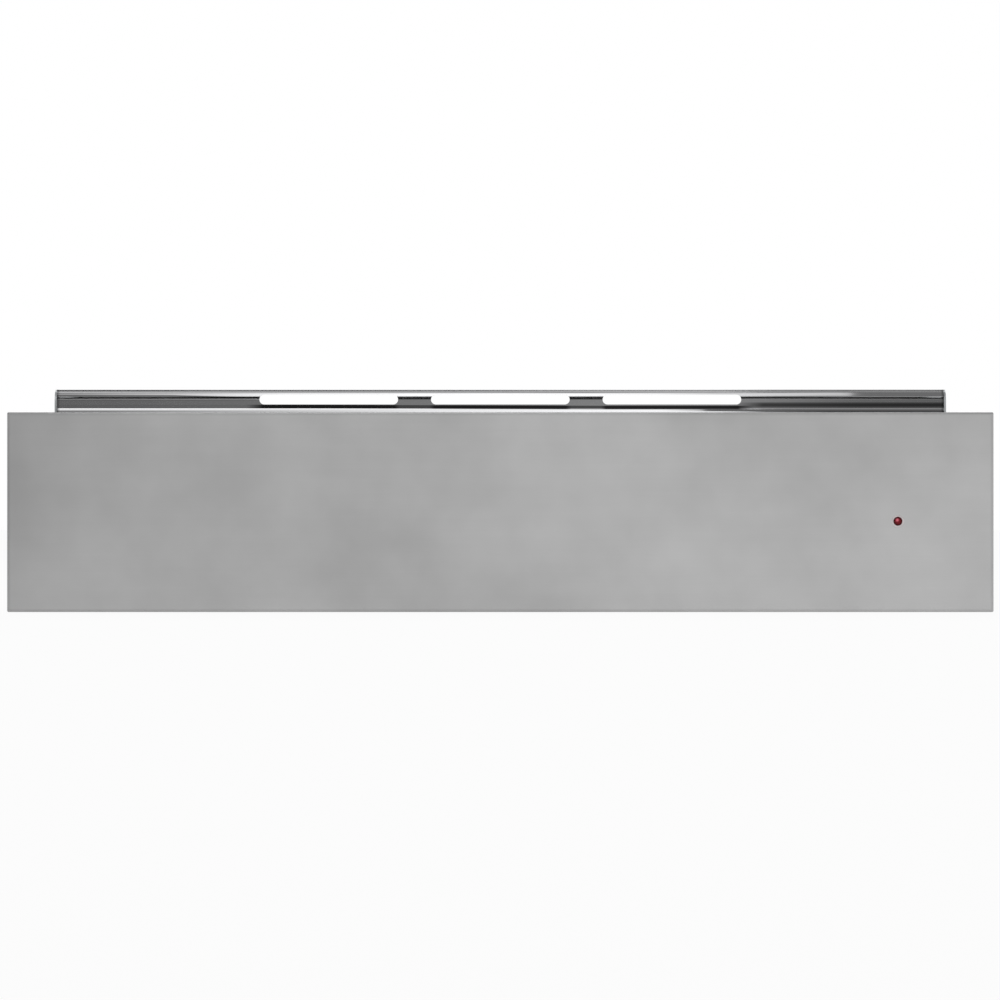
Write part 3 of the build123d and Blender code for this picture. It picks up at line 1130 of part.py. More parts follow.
def switch_body():
    """The snap-in switch case, its rim on the fascia."""
    case = block(grown(SWITCH_X, SWITCH_WALL), grown(SWITCH_Y, SWITCH_WALL),
                 (FASCIA_TOP_Z - SWITCH_DEPTH, FASCIA_TOP_Z))
    rim = block(grown(SWITCH_X, SWITCH_WALL + SWITCH_FLANGE), grown(SWITCH_Y, SWITCH_WALL + SWITCH_FLANGE),
                (FASCIA_TOP_Z, FASCIA_TOP_Z + SWITCH_BEZEL))
    rim = fillet(rim.edges().filter_by(Axis.Z), SWITCH_CORNER)
    rim = chamfer(rim.faces().sort_by(Axis.Z)[-1].edges(), SWITCH_BEVEL)
    case += rim
    low = PIVOT_Z - ROCKER_RADIUS - ROCKER_GAP
    case -= block(SWITCH_X, SWITCH_Y, (low, FASCIA_TOP_Z + SWITCH_BEZEL))
    reach = ROCKER_WIDTH / 2 + ROCKER_PIN_LENGTH
    return case - rod_x(ROCKER_PIN_RADIUS + RUNNING_FIT, (ROCKER_X - reach, ROCKER_X + reach),
                        CONTROL_Y, PIVOT_Z)


def power_rocker():
    """The rocker, round about its pins, resting with its rear end down."""
    wide = sqrt(ROCKER_RADIUS ** 2 - ROCKER_HIGH ** 2)
    deep = sqrt(ROCKER_RADIUS ** 2 - ROCKER_CHORD ** 2)
    outline = [Line((wide, ROCKER_HIGH), (0, ROCKER_LOW)), Line((0, ROCKER_LOW), (-wide, ROCKER_HIGH)),
               ThreePointArc((-wide, ROCKER_HIGH), (-ROCKER_RADIUS, 0), (-deep, -ROCKER_CHORD)),
               Line((-deep, -ROCKER_CHORD), (deep, -ROCKER_CHORD)),
               ThreePointArc((deep, -ROCKER_CHORD), (ROCKER_RADIUS, 0), (wide, ROCKER_HIGH))]
    half = ROCKER_WIDTH / 2
    rocker = prism_x(Rot(0, 0, -ROCKER_TILT) * make_face(outline), (-half, half))
    reach = half + ROCKER_PIN_LENGTH
    rocker += rod_x(ROCKER_PIN_RADIUS, (-reach, reach), 0, 0)
    return Pos(ROCKER_X, CONTROL_Y, PIVOT_Z) * rocker


# ------------------------------------------------------------------------------ output

def left_of(shape):
    """The left-hand twin of a piece or a group."""
    if isinstance(shape, list):
        return [mirror(piece, about=Plane.YZ) for piece in shape]
    return mirror(shape, about=Plane.YZ)


def write(name, shape):
    """One file for each sub-part, with its solids side by side."""
    pieces = shape if isinstance(shape, list) else [shape]
    solids = [solid for piece in pieces for solid in piece.solids()]
    export_step(solids[0] if len(solids) == 1 else Compound(solids), "parts/" + name + ".step")


SINGLE = (base_pan, rear_panel, top_cover, front_rail, rear_partition, housing_screws, rear_buffers,
          blower_scroll, blower_bush, heating_element, fan_wheel, motor_stator, motor_coil,
          motor_brackets, motor_bushes, motor_rotor, safety_cutout, control_board, board_standoffs,
          terminal_block, cable_gland, gland_nut, temperature_sensor, push_latch_body,
          push_latch_plunger, striker_plate, drawer_box, base_plate, non_slip_mat, front_panel,
          front_backing, control_bay, control_fascia, front_screws, indicator_lens, lamp_holder,
          lamp_clip, potentiometer, spindle_nut, spindle, thermostat_knob, switch_body, power_rocker)

HANDED = {
    "side_panel": right_side_panel(),
    "runner_outer": right_runner_outer(),
    "runner_middle": right_runner_middle(),
    "runner_inner": right_runner_inner(),
    "outer_ball_cage": ball_cage(OUTER_CAGE_AT, OUTER_ROW, OUTER_RACE_RADIUS),
    "inner_ball_cage": ball_cage(INNER_CAGE_AT, INNER_ROW, INNER_RACE_RADIUS),
}

os.makedirs("parts", exist_ok=True)
for make in SINGLE:
    write(make.__name__, make())
for name, shape in HANDED.items():
    write("right_" + name, shape)
    write("left_" + name, left_of(shape))
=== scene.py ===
import json
from math import pi, radians

import bmesh
import bpy
from mathutils import Matrix, Vector

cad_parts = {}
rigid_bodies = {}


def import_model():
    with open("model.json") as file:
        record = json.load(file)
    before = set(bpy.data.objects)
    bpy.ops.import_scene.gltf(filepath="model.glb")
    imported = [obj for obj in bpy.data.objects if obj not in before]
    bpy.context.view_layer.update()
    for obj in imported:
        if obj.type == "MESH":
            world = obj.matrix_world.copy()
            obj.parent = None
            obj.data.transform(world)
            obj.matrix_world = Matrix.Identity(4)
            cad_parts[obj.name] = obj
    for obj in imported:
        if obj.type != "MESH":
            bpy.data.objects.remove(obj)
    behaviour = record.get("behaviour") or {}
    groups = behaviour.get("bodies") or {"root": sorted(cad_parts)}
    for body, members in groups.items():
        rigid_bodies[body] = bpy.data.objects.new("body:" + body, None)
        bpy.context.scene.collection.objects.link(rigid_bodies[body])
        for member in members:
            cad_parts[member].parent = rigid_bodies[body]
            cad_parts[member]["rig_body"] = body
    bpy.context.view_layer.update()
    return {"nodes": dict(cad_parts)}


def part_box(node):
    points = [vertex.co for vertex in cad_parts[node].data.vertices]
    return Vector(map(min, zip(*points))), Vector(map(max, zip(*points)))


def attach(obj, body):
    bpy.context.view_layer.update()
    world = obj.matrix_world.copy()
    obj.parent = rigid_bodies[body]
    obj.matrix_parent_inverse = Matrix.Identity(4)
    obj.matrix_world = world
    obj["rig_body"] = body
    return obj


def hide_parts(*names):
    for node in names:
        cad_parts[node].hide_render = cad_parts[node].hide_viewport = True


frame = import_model()
MM = 0.001

# ------------------------------------------------------------------ housing sheets
# The housing stays in the cabinet. It is folded from hot-dip galvanised sheet about a
# millimetre thick: a pan with pressed feet, two sides, a rear panel, a lid sunk below the
# top flanges, and the partition before the blower. Screws through the flanges join them.
MERGE_DISTANCE = 0.002 * MM
# Faces that meet below the flat angle are joined, and edges above the sharp one stay crisp, or
# above the pressed one on the housing sheets with their shallow beads.
FLAT_ANGLE, SHARP_ANGLE, PRESSED_ANGLE = radians(0.3), radians(35), radians(25)


def node(tree, kind, inputs=None, **settings):
    """One shader node; an input is a value or another node's output."""
    made = tree.nodes.new("ShaderNode" + kind)
    for name, value in settings.items():
        setattr(made, name, value)
    for name, value in (inputs or {}).items():
        if isinstance(value, bpy.types.NodeSocket):
            tree.links.new(value, made.inputs[name])
        else:
            made.inputs[name].default_value = value
    return made


def maths(tree, operation, *values):
    """The result of one sum on numbers or on other nodes' outputs."""
    return node(tree, "Math", dict(enumerate(values)), operation=operation).outputs[0]


def ranged(tree, value, start=0.0, stop=1.0, low=0.0, high=1.0, **settings):
    """A value's place between start and stop, carried over to between low and high."""
    span = {"Value": value, "From Min": start, "From Max": stop, "To Min": low, "To Max": high}
    return node(tree, "MapRange", span, **settings).outputs[0]


def swing(tree, value, middle, contrast):
    """A factor about one, which follows a value above and below its middle."""
    lean = maths(tree, "SUBTRACT", value, middle)
    return maths(tree, "MULTIPLY_ADD", lean, contrast, 1.0)


def scaled(tree, colour, factor):
    """A colour made lighter or darker by a factor."""
    return node(tree, "VectorMath", {0: colour, "Scale": factor}, operation="SCALE").outputs[0]


def on_piece(tree):
    """The place on the piece, in metres."""
    return node(tree, "TexCoord").outputs["Object"]


def effect(name, inputs, outputs):
    """An empty group of nodes with named number inputs and outputs."""
    group = bpy.data.node_groups.new(name, "ShaderNodeTree")
    for label, value in inputs.items():
        socket = group.interface.new_socket(label, in_out="INPUT", socket_type="NodeSocketFloat")
        socket.default_value = value
    for label in outputs:
        group.interface.new_socket(label, in_out="OUTPUT", socket_type="NodeSocketFloat")
    return group, group.nodes.new("NodeGroupInput").outputs, group.nodes.new("NodeGroupOutput").inputs


def material(name, colour, **fixed):
    """A material whose shader has this colour and these fixed values."""
    made = bpy.data.materials.new(name)
    made.use_nodes = True
    shader = made.node_tree.nodes["Principled BSDF"]
    shader.inputs["Base Color"].default_value = (*colour, 1)
    for label, value in fixed.items():
        shader.inputs[label.replace("_", " ").title().replace("Ior", "IOR")].default_value = value
    return made, made.node_tree, shader


def tinted(tree, shader, colour, shade, shine=None):
    """The colour, lighter and darker by a factor that changes over the surface, and its roughness."""
    tree.links.new(scaled(tree, colour, shade), shader.inputs["Base Color"])
    if shine:
        tree.links.new(shine, shader.inputs["Roughness"])


def bumped(tree, shader, height, depth):
    """A relief of this depth, in metres, on the surface."""
    bump = node(tree, "Bump", {"Height": height, "Strength": 1.0, "Distance": depth})
    tree.links.new(bump.outputs["Normal"], shader.inputs["Normal"])


def merged(source):
    """A copy of a frame node's mesh with its triangles joined and its flats made whole."""
    bm = bmesh.new()
    bm.from_mesh(frame["nodes"][source].data)
    bmesh.ops.remove_doubles(bm, verts=bm.verts, dist=MERGE_DISTANCE)
    bmesh.ops.dissolve_limit(bm, angle_limit=FLAT_ANGLE, verts=bm.verts, edges=bm.edges)
    return bm


def to_mesh(bm, name, angle=SHARP_ANGLE):
    """The bmesh as a mesh, with rounded shading up to this angle between its faces."""
    mesh = bpy.data.meshes.new(name)
    bm.to_mesh(mesh)
    bm.free()
    mesh.shade_smooth()
    mesh.set_sharp_from_angle(angle=angle)
    return mesh


def in_scene(name, data):
    """An object of this mesh, text, lamp or camera, put into the scene."""
    made = bpy.data.objects.new(name, data)
    bpy.context.scene.collection.objects.link(made)
    return made


def placed(name, body, finish, mesh):
    """A finished piece with its material, which rides on a body of the frame."""
    piece = in_scene(name, mesh)
    mesh.materials.clear()
    mesh.materials.append(finish)
    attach(piece, body)
    return piece


def weighted(piece):
    """Normals that follow the large flat faces, so that only the bends look round."""
    normals = piece.modifiers.new("flat faces lead", "WEIGHTED_NORMAL")
    normals.keep_sharp = True
    normals.weight = 100


def dressed(source, name, finish, edge=0.0, segments=2, angle=SHARP_ANGLE):
    """The frame node's own form with smooth curves and, given an edge size, broken edges."""
    mesh = to_mesh(merged(source), name, angle)
    piece = placed(name, frame["nodes"][source]["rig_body"], finish, mesh)
    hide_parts(source)
    if edge:
        bevel = piece.modifiers.new("broken edges", "BEVEL")
        bevel.width = edge
        bevel.segments = segments
        bevel.limit_method = "ANGLE"
        bevel.angle_limit = angle
    weighted(piece)


# Zinc spangle: crystals about 8 mm wide, each with its own grey and its own shine.
spangle, given, result = effect("zinc spangle", {"Crystals Per Metre": 120.0, "Contrast": 0.2},
                                ("Shade", "Roughness"))
SPANGLE_BEND = 8 * MM
place = on_piece(spangle)
warp = node(spangle, "TexNoise", {"Vector": place, "Scale": 90.0, "Detail": 2.0})
bent = node(spangle, "VectorMath", {0: warp.outputs["Color"], 1: (SPANGLE_BEND,) * 3, 2: place},
            operation="MULTIPLY_ADD")
crystal = node(spangle, "TexVoronoi", {"Vector": bent.outputs[0], "Scale": given["Crystals Per Metre"]})
parts = node(spangle, "SeparateColor", {0: crystal.outputs["Color"]})
spangle.links.new(swing(spangle, parts.outputs[0], 0.5, given["Contrast"]), result["Shade"])
spangle.links.new(ranged(spangle, parts.outputs[1], low=0.34, high=0.5), result["Roughness"])

# Cloudy handling marks, which change a surface's roughness and, a little, its shade in soft patches.
handling, given, result = effect("handling marks", {"Patches Per Metre": 12.0, "Low": 0.3, "High": 0.4,
                                                    "Contrast": 0.0}, ("Roughness", "Shade"))
cloud = node(handling, "TexNoise", {"Vector": on_piece(handling), "Scale": given["Patches Per Metre"],
                                    "Detail": 4.0, "Roughness": 0.55}).outputs[0]
dull = ranged(handling, cloud, start=0.3, stop=0.7, low=given["Low"], high=given["High"])
handling.links.new(dull, result["Roughness"])
handling.links.new(swing(handling, cloud, 0.5, given["Contrast"]), result["Shade"])

ZINC_GREY = (0.56, 0.58, 0.59)
ZINC_RELIEF = 0.01 * MM
galvanised, tree, shader = material("galvanised sheet", ZINC_GREY, metallic=0.9)
zinc = node(tree, "Group", node_tree=spangle)
tinted(tree, shader, ZINC_GREY, zinc.outputs["Shade"], zinc.outputs["Roughness"])
bumped(tree, shader, zinc.outputs["Shade"], ZINC_RELIEF)

for source, name in (("base_pan", "housing_pan"), ("left_side_panel", "left_side_sheet"),
                     ("right_side_panel", "right_side_sheet"), ("rear_panel", "rear_sheet"),
                     ("top_cover", "housing_lid"), ("rear_partition", "partition_sheet")):
    dressed(source, name, galvanised, angle=PRESSED_ANGLE)

# ---------------------------------------------------------------------- front rail
# The rail ties the two sides together above the front. It is roll-formed from bright
# stainless sheet, with two sloping bands, a web with three air slots between them, and a
# flange above and below. Tabs behind its upper corners are riveted to the side flanges.
rail_low, rail_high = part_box("front_rail")
RAIL_SHEET = 0.8 * MM
RAIL_BEND, RAIL_BEND_STEPS = 0.35 * MM, 5
RAIL_LOW_FLANGE = 12 * MM
RAIL_TAB = 10 * MM
SLOT_PITCH, SLOT_LENGTH, SLOT_HEIGHT, SLOT_DROP = 104.7 * MM, 84.6 * MM, 6 * MM, 6.1 * MM
SLOT_END_STEPS = 12
# Points closer than a hair lie on the same bend, and closer than touching are one point.
HAIR, TOUCHING = 0.01 * MM, 0.001 * MM
# From the top down: each step's drop and its depth behind the rail's front, in millimetres.
RAIL_STEPS = ((1.6, 2.2), (2.6, 0.0), (1.6, 1.6), (6.0, 1.6), (1.8, 0.3), (2.6, 0.3))
# Dark lines painted along the rail, as painted shade in its bends and painted reflections on its web.
# Each has its depth below the top in the middle and at the ends, half its height and its fade in
# millimetres, and its shade at places along X in metres.
RAIL_LINES = (
    (0.8, 0.8, 0.25, 0.45, ((-0.27, 0.22), (-0.2, 0.32), (-0.175, 0.6), (-0.05, 0.6), (0.05, 1.0))),
    (1.9, 1.9, 0.15, 0.4, ((-0.27, 0.6), (-0.15, 0.35), (-0.05, 0.3), (0.05, 0.15), (0.13, 0.35),
                           (0.2, 1.0))),
    (5.7, 3.9, 0.25, 0.4, ((-0.27, 0.25), (-0.15, 0.2), (-0.13, 0.06), (0.13, 0.06), (0.15, 0.6),
                           (0.21, 0.9))),
    (6.1, 6.1, 0.2, 0.4, ((-0.27, 0.6), (-0.15, 0.6), (-0.13, 1.0), (0.13, 1.0), (0.15, 0.7),
                          (0.27, 0.5))),
    (9.4, 9.4, 0.7, 1.6, ((0.14, 1.0), (0.16, 0.2), (0.27, 0.18))),
    (13.4, 13.4, 0.3, 0.7, ((-0.27, 0.2), (-0.24, 0.25), (-0.15, 0.52), (-0.05, 0.85), (0.05, 1.0),
                            (0.13, 1.0), (0.2, 0.3))),
)
# The lines go from their middle depth to their end depth between these distances from the middle.
RAIL_LINES_RISE = (0.12, 0.2)
# The low crease, a line of painted shade along the lower bend: its depths at the two places along X
# between which it slopes, and its shades.
LOW_CREASE_SLOPE, LOW_CREASE_DEPTHS = (-0.12, 0.06), (10.4, 11.0)
LOW_CREASE_REACH, LOW_CREASE_FADE = 0.95, 0.35
CREASE_UNDER_SLOT, CREASE_BETWEEN, CREASE_BEYOND = 0.06, 0.3, 0.9
CREASE_LEAD, CREASE_SHORT_FADE, CREASE_LONG_FADE = 2 * MM, 1 * MM, 8 * MM
# The sheet is painted darker at its two ends, as painted shade.
RAIL_END_SHADE, RAIL_END_FROM, RAIL_END_TO = 0.5, 1.9 * MM, 0.6 * MM

# Grain from the rolls or the brush, drawn out along the front, and finer across it.
grain, given, result = effect("rolled grain", {"Lines Per Metre": 1500.0, "Contrast": 0.1},
                              ("Shade", "Height"))
drawn = node(grain, "Mapping", {"Vector": on_piece(grain), "Scale": (0.012, 1.0, 1.0)}).outputs[0]
fine = node(grain, "TexNoise", {"Vector": drawn, "Scale": given["Lines Per Metre"], "Detail": 2.0})
wide = maths(grain, "MULTIPLY", given["Lines Per Metre"], 0.1)
broad = node(grain, "TexNoise", {"Vector": drawn, "Scale": wide, "Detail": 2.0})
both = maths(grain, "ADD", fine.outputs[0], broad.outputs[0])
grain.links.new(swing(grain, both, 1.0, given["Contrast"]), result["Shade"])
grain.links.new(fine.outputs[0], result["Height"])


def stainless(name, colour, lines, contrast, relief, low, high, patches=12.0, clouds=0.0):
    """Stainless sheet with its grain and its handling marks."""
    made, tree, shader = material(name, colour, metallic=1.0)
    rolled = node(tree, "Group", {"Lines Per Metre": lines, "Contrast": contrast}, node_tree=grain)
    marks = node(tree, "Group", {"Patches Per Metre": patches, "Low": low, "High": high,
                                 "Contrast": clouds}, node_tree=handling)
    shade = maths(tree, "MULTIPLY", rolled.outputs["Shade"], marks.outputs["Shade"])
    tinted(tree, shader, colour, shade, marks.outputs["Roughness"])
    bumped(tree, shader, rolled.outputs["Height"], relief)
    return made


def axes_of(tree):
    """The place on the piece along X, Y and Z."""
    return node(tree, "SeparateXYZ", {0: on_piece(tree)}).outputs


def graded(tree, place, stops):
    """A grey that changes with a place, given as stops of (place, grey)."""
    first, last = stops[0][0], stops[-1][0]
    ramp = node(tree, "ValToRGB", {0: ranged(tree, place, first, last)})
    elements = ramp.color_ramp.elements
    for spot, grey in stops[1:-1]:
        elements.new((spot - first) / (last - first)).color = (grey, grey, grey, 1)
    for end in (0, -1):
        elements[end].color = (stops[end][1],) * 3 + (1,)
    return ramp.outputs[0]


def line_across(tree, place, height, reach, fade, dim):
    """A factor that is dim within reach of a height and one past the fade, both in millimetres."""
    off = maths(tree, "ABSOLUTE", maths(tree, "SUBTRACT", place, height))
    return ranged(tree, off, reach * MM, (reach + fade) * MM, dim)


bright_stainless = stainless("bright rolled stainless", (0.72, 0.72, 0.73), lines=1800.0, contrast=0.05,
                             relief=0.0002 * MM, low=0.04, high=0.07)
tree = bright_stainless.node_tree
shader = tree.nodes["Principled BSDF"]
shade = shader.inputs["Base Color"].links[0].from_socket
axes = axes_of(tree)
outwards = maths(tree, "ABSOLUTE", axes["X"])
# Each painted line of shade and reflection darkens the rail's colour along its height.
for middle, end, reach, fade, stops in RAIL_LINES:
    height = ranged(tree, outwards, *RAIL_LINES_RISE, rail_high.z - middle * MM, rail_high.z - end * MM)
    line = line_across(tree, axes["Z"], height, reach, fade, graded(tree, axes["X"], stops))
    shade = scaled(tree, shade, line)
# The painted shade in the low crease is deep under the slots, less between them, and faint beyond them.
to_slot = maths(tree, "PINGPONG", axes["X"], SLOT_PITCH / 2)
between = ranged(tree, to_slot, SLOT_LENGTH / 2 - CREASE_LEAD, SLOT_LENGTH / 2 + CREASE_SHORT_FADE,
                 CREASE_UNDER_SLOT, CREASE_BETWEEN)
last_end = SLOT_PITCH + SLOT_LENGTH / 2
beyond = ranged(tree, outwards, last_end - CREASE_LEAD, last_end + CREASE_LONG_FADE, 0.0, CREASE_BEYOND)
height = ranged(tree, axes["X"], *LOW_CREASE_SLOPE,
                *[rail_high.z - depth * MM for depth in LOW_CREASE_DEPTHS])
crease = line_across(tree, axes["Z"], height, LOW_CREASE_REACH, LOW_CREASE_FADE,
                     maths(tree, "MAXIMUM", between, beyond))
# Painted shade at the rail's two ends.
ends = ranged(tree, outwards, rail_high.x - RAIL_END_FROM, rail_high.x - RAIL_END_TO, 1.0, RAIL_END_SHADE)
tree.links.new(scaled(tree, scaled(tree, shade, crease), ends), shader.inputs["Base Color"])


def box_at(bm, x, y, z):
    """A box between two limits along each axis, added to a bmesh."""
    made = bmesh.ops.create_cube(bm, size=1.0)["verts"]
    bmesh.ops.scale(bm, vec=(x[1] - x[0], y[1] - y[0], z[1] - z[0]), verts=made)
    bmesh.ops.translate(bm, vec=((x[0] + x[1]) / 2, (y[0] + y[1]) / 2, (z[0] + z[1]) / 2), verts=made)
    return made


def rounded(bm, edges, radius, segments):
    """Edges made round in this many steps."""
    bmesh.ops.bevel(bm, geom=edges, offset=radius, offset_type="OFFSET", segments=segments, profile=0.5,
                    affect="EDGES", material=-1)


def worked(bm, name, wall=0.0, side=-1.0, cutters=()):
    """A sheet given its wall and cut through by other shapes, as one closed mesh."""
    piece = in_scene(name, to_mesh(bm, name))
    if wall:
        solid = piece.modifiers.new("wall", "SOLIDIFY")
        solid.thickness = wall
        solid.offset = side
        solid.use_even_offset = True
    shapes = []
    for number, cutter in enumerate(cutters):
        shape = in_scene(f"{name}_cut_{number}", to_mesh(cutter, f"{name}_cut_{number}"))
        cut = piece.modifiers.new("cut", "BOOLEAN")
        cut.operation = "DIFFERENCE"
        cut.solver = "EXACT"
        cut.object = shape
        shapes.append(shape)
    bpy.context.view_layer.update()
    closed = bpy.data.meshes.new_from_object(piece.evaluated_get(bpy.context.evaluated_depsgraph_get()))
    for done in [piece] + shapes:
        bpy.data.objects.remove(done)
    bm = bmesh.new()
    bm.from_mesh(closed)
    bmesh.ops.remove_doubles(bm, verts=bm.verts, dist=TOUCHING)
    bmesh.ops.recalc_face_normals(bm, faces=bm.faces)
    return bm


bm = bmesh.new()
z = rail_high.z
line = [(rail_high.y, z), (rail_low.y + RAIL_STEPS[0][1] * MM, z)]
for drop, depth in RAIL_STEPS:
    z -= drop * MM
    line.append((rail_low.y + depth * MM, z))
line.append((rail_low.y + RAIL_LOW_FLANGE, z))
points = [bm.verts.new((rail_low.x, y, z)) for y, z in line]
for one, other in zip(points, points[1:]):
    bm.edges.new((one, other))
grown = bmesh.ops.extrude_edge_only(bm, edges=bm.edges[:])["geom"]
bmesh.ops.translate(bm, vec=(rail_high.x - rail_low.x, 0, 0),
                    verts=[part for part in grown if isinstance(part, bmesh.types.BMVert)])
bm = worked(bm, "rail strip", wall=RAIL_SHEET, side=1.0)
bends = [edge for edge in bm.edges if abs(edge.verts[0].co.x - edge.verts[1].co.x) > MM
         and min((edge.verts[0].co.yz - Vector(point)).length for point in line[1:-1]) < HAIR]
rounded(bm, bends, RAIL_BEND, RAIL_BEND_STEPS)
cutters = []
for place in (-SLOT_PITCH, 0, SLOT_PITCH):
    slot = bmesh.new()
    box_at(slot, (place - SLOT_LENGTH / 2, place + SLOT_LENGTH / 2), (rail_low.y - MM, rail_high.y + MM),
           (rail_high.z - SLOT_DROP - SLOT_HEIGHT / 2, rail_high.z - SLOT_DROP + SLOT_HEIGHT / 2))
    corners = [edge for edge in slot.edges if abs((edge.verts[0].co - edge.verts[1].co).normalized().y) > 0.9]
    rounded(slot, corners, SLOT_HEIGHT / 2 - HAIR, SLOT_END_STEPS)
    cutters.append(slot)
bm = worked(bm, "slotted rail", cutters=cutters)
for low in (rail_low.x, rail_high.x - RAIL_SHEET):
    box_at(bm, (low, low + RAIL_SHEET), (rail_high.y - RAIL_TAB, rail_high.y),
           (rail_high.z - RAIL_TAB, rail_high.z - RAIL_SHEET))
rail = placed("slotted_rail", "housing", bright_stainless, to_mesh(bm, "slotted rail"))
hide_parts("front_rail")
weighted(rail)

# ------------------------------------------------------------------ housing screws
# Hexagon sheet-metal screws, zinc plated, driven through the sides and the rear sheet into
# the flanges. Each has a washer pressed in one piece with its head, and a dished top.
SCREW_ACROSS = 5.4 * MM
SCREW_HEAD, SCREW_HEAD_EDGE = 2.2 * MM, 0.4 * MM
SCREW_DISH_RIM, SCREW_DISH_SLOPE, SCREW_DISH_DEPTH = 0.5 * MM, 0.5 * MM, 0.5 * MM
SCREW_WASHER, SCREW_WASHER_RADIUS, SCREW_WASHER_TOP_RADIUS = 0.6 * MM, 3.6 * MM, 3.35 * MM
SCREW_SHANK_RADIUS, SCREW_TIP_RADIUS = 1.45 * MM, 0.87 * MM
REAR_SCREW_REACH = 5 * MM


def plating(name, colour, patches, low, high, crystals, contrast):
    """A plated metal, with fine crystals in its shade and small patches in its shine."""
    made, tree, shader = material(name, colour, metallic=1.0)
    marks = node(tree, "Group", {"Patches Per Metre": patches, "Low": low, "High": high}, node_tree=handling)
    zinc = node(tree, "Group", {"Crystals Per Metre": crystals, "Contrast": contrast}, node_tree=spangle)
    tinted(tree, shader, colour, zinc.outputs["Shade"], marks.outputs["Roughness"])
    return made


def cone(bm, segments, low_radius, high_radius, low, high, x=0.0, y=0.0):
    """A closed cone or cylinder about Z between two heights, added to a bmesh."""
    made = bmesh.ops.create_cone(bm, cap_ends=True, segments=segments, radius1=low_radius,
                                 radius2=high_radius, depth=high - low)["verts"]
    bmesh.ops.translate(bm, vec=(x, y, (low + high) / 2), verts=made)
    return made


def islands_of(bm):
    """The lowest and highest corner of each separate shape in a bmesh."""
    left = set(bm.verts)
    for start in bm.verts:
        if start not in left:
            continue
        left.remove(start)
        island, waiting = [], [start]
        while waiting:
            vert = waiting.pop()
            island.append(vert.co.copy())
            linked = {link.other_vert(vert) for link in vert.link_edges} & left
            left -= linked
            waiting.extend(linked)
        yield (Vector([min(point[axis] for point in island) for axis in range(3)]),
               Vector([max(point[axis] for point in island) for axis in range(3)]))


def hexagon_screws(source, name, way_out):
    """Screws in the places of a frame node's screws, each with its head on the sheet's outside."""
    old = merged(source)
    islands = list(islands_of(old))
    old.free()
    bm = bmesh.new()
    for low, high in islands:
        outward = way_out((low + high) / 2)
        length = (high - low) @ Vector([abs(part) for part in outward]) - SCREW_HEAD
        seat = (low + high) / 2 + outward * (length - SCREW_HEAD) / 2
        before = set(bm.verts)
        head = set(cone(bm, 6, SCREW_ACROSS / 3 ** 0.5, SCREW_ACROSS / 3 ** 0.5, 0, SCREW_HEAD))
        top = [face for face in bm.faces if face.verts[0] in head and face.normal.z > 0.9]
        rounded(bm, [edge for face in top for edge in face.edges], SCREW_HEAD_EDGE, 2)
        bm.normal_update()
        top = max((face for face in bm.faces if face.verts[0] not in before),
                  key=lambda face: (round(face.calc_center_median().z, 7), face.calc_area()))
        bmesh.ops.inset_region(bm, faces=[top], thickness=SCREW_DISH_RIM, depth=0)
        bmesh.ops.inset_region(bm, faces=[top], thickness=SCREW_DISH_SLOPE, depth=-SCREW_DISH_DEPTH)
        cone(bm, 28, SCREW_WASHER_RADIUS, SCREW_WASHER_TOP_RADIUS, 0, SCREW_WASHER)
        cone(bm, 20, SCREW_TIP_RADIUS, SCREW_SHANK_RADIUS, -length, 0)
        turn = outward.to_track_quat("Z", "Y").to_matrix().to_4x4()
        bmesh.ops.transform(bm, matrix=Matrix.Translation(seat) @ turn,
                            verts=[vert for vert in bm.verts if vert not in before])
    screws = placed(name, frame["nodes"][source]["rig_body"], plated, to_mesh(bm, name))
    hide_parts(source)


def out_of_housing(middle):
    """The way out of the housing at a screw: backwards at the rear, sideways elsewhere."""
    if middle.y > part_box("rear_panel")[1].y - REAR_SCREW_REACH:
        return Vector((0, 1, 0))
    return Vector((1 if middle.x > 0 else -1, 0, 0))


plated = plating("zinc plated steel", (0.6, 0.61, 0.63), patches=160.0, low=0.26, high=0.42,
                 crystals=900.0, contrast=0.12)
hexagon_screws("housing_screws", "sheet_metal_screws", out_of_housing)

# -------------------------------------------------------------------------- runners
# Ball-bearing runners carry the drawer: a cabinet member on each side, a middle member,
# a drawer member, and two folded cages that space the balls between them. All are rolled
# from zinc plated strip, and the balls are hardened steel.
for side in ("left", "right"):
    for source in ("runner_outer", "runner_middle", "runner_inner", "outer_ball_cage", "inner_ball_cage"):
        dressed(f"{side}_{source}", f"{side}_{source}_strip", plated)

# --------------------------------------------------------------------------- blower
# Behind the partition a crossflow wheel of plain aluminium turns in a scroll of galvanised
# sheet. A sheathed heating element lies in the scroll's outlet, with a thermal cut-out on
# the end plate. The free end of the wheel runs in a sintered bush.
dressed("blower_scroll", "scroll_sheet", galvanised)

ALUMINIUM = (0.7, 0.71, 0.72)
plain_aluminium, tree, shader = material("plain aluminium", ALUMINIUM, metallic=1.0)
rolled = node(tree, "Group", {"Lines Per Metre": 900.0}, node_tree=grain)
marks = node(tree, "Group", {"Patches Per Metre": 60.0}, node_tree=handling)
tinted(tree, shader, ALUMINIUM, rolled.outputs["Shade"], marks.outputs["Roughness"])
dressed("fan_wheel", "crossflow_wheel", plain_aluminium)

# The sheath has gone brown and blue with heat, in soft patches.
SHEATH_BROWN, SHEATH_BLUE = (0.3, 0.26, 0.22), (0.12, 0.1, 0.12)
sheath, tree, shader = material("heated sheath", SHEATH_BROWN, metallic=1.0, roughness=0.45)
patches = node(tree, "TexNoise", {"Vector": on_piece(tree), "Scale": 45.0, "Detail": 3.0})
blend = ranged(tree, patches.outputs[0], start=0.35, stop=0.65)
colour = node(tree, "MixRGB", {"Fac": blend, "Color1": (*SHEATH_BROWN, 1), "Color2": (*SHEATH_BLUE, 1)})
tree.links.new(colour.outputs[0], shader.inputs["Base Color"])
dressed("heating_element", "heater_tube", sheath)

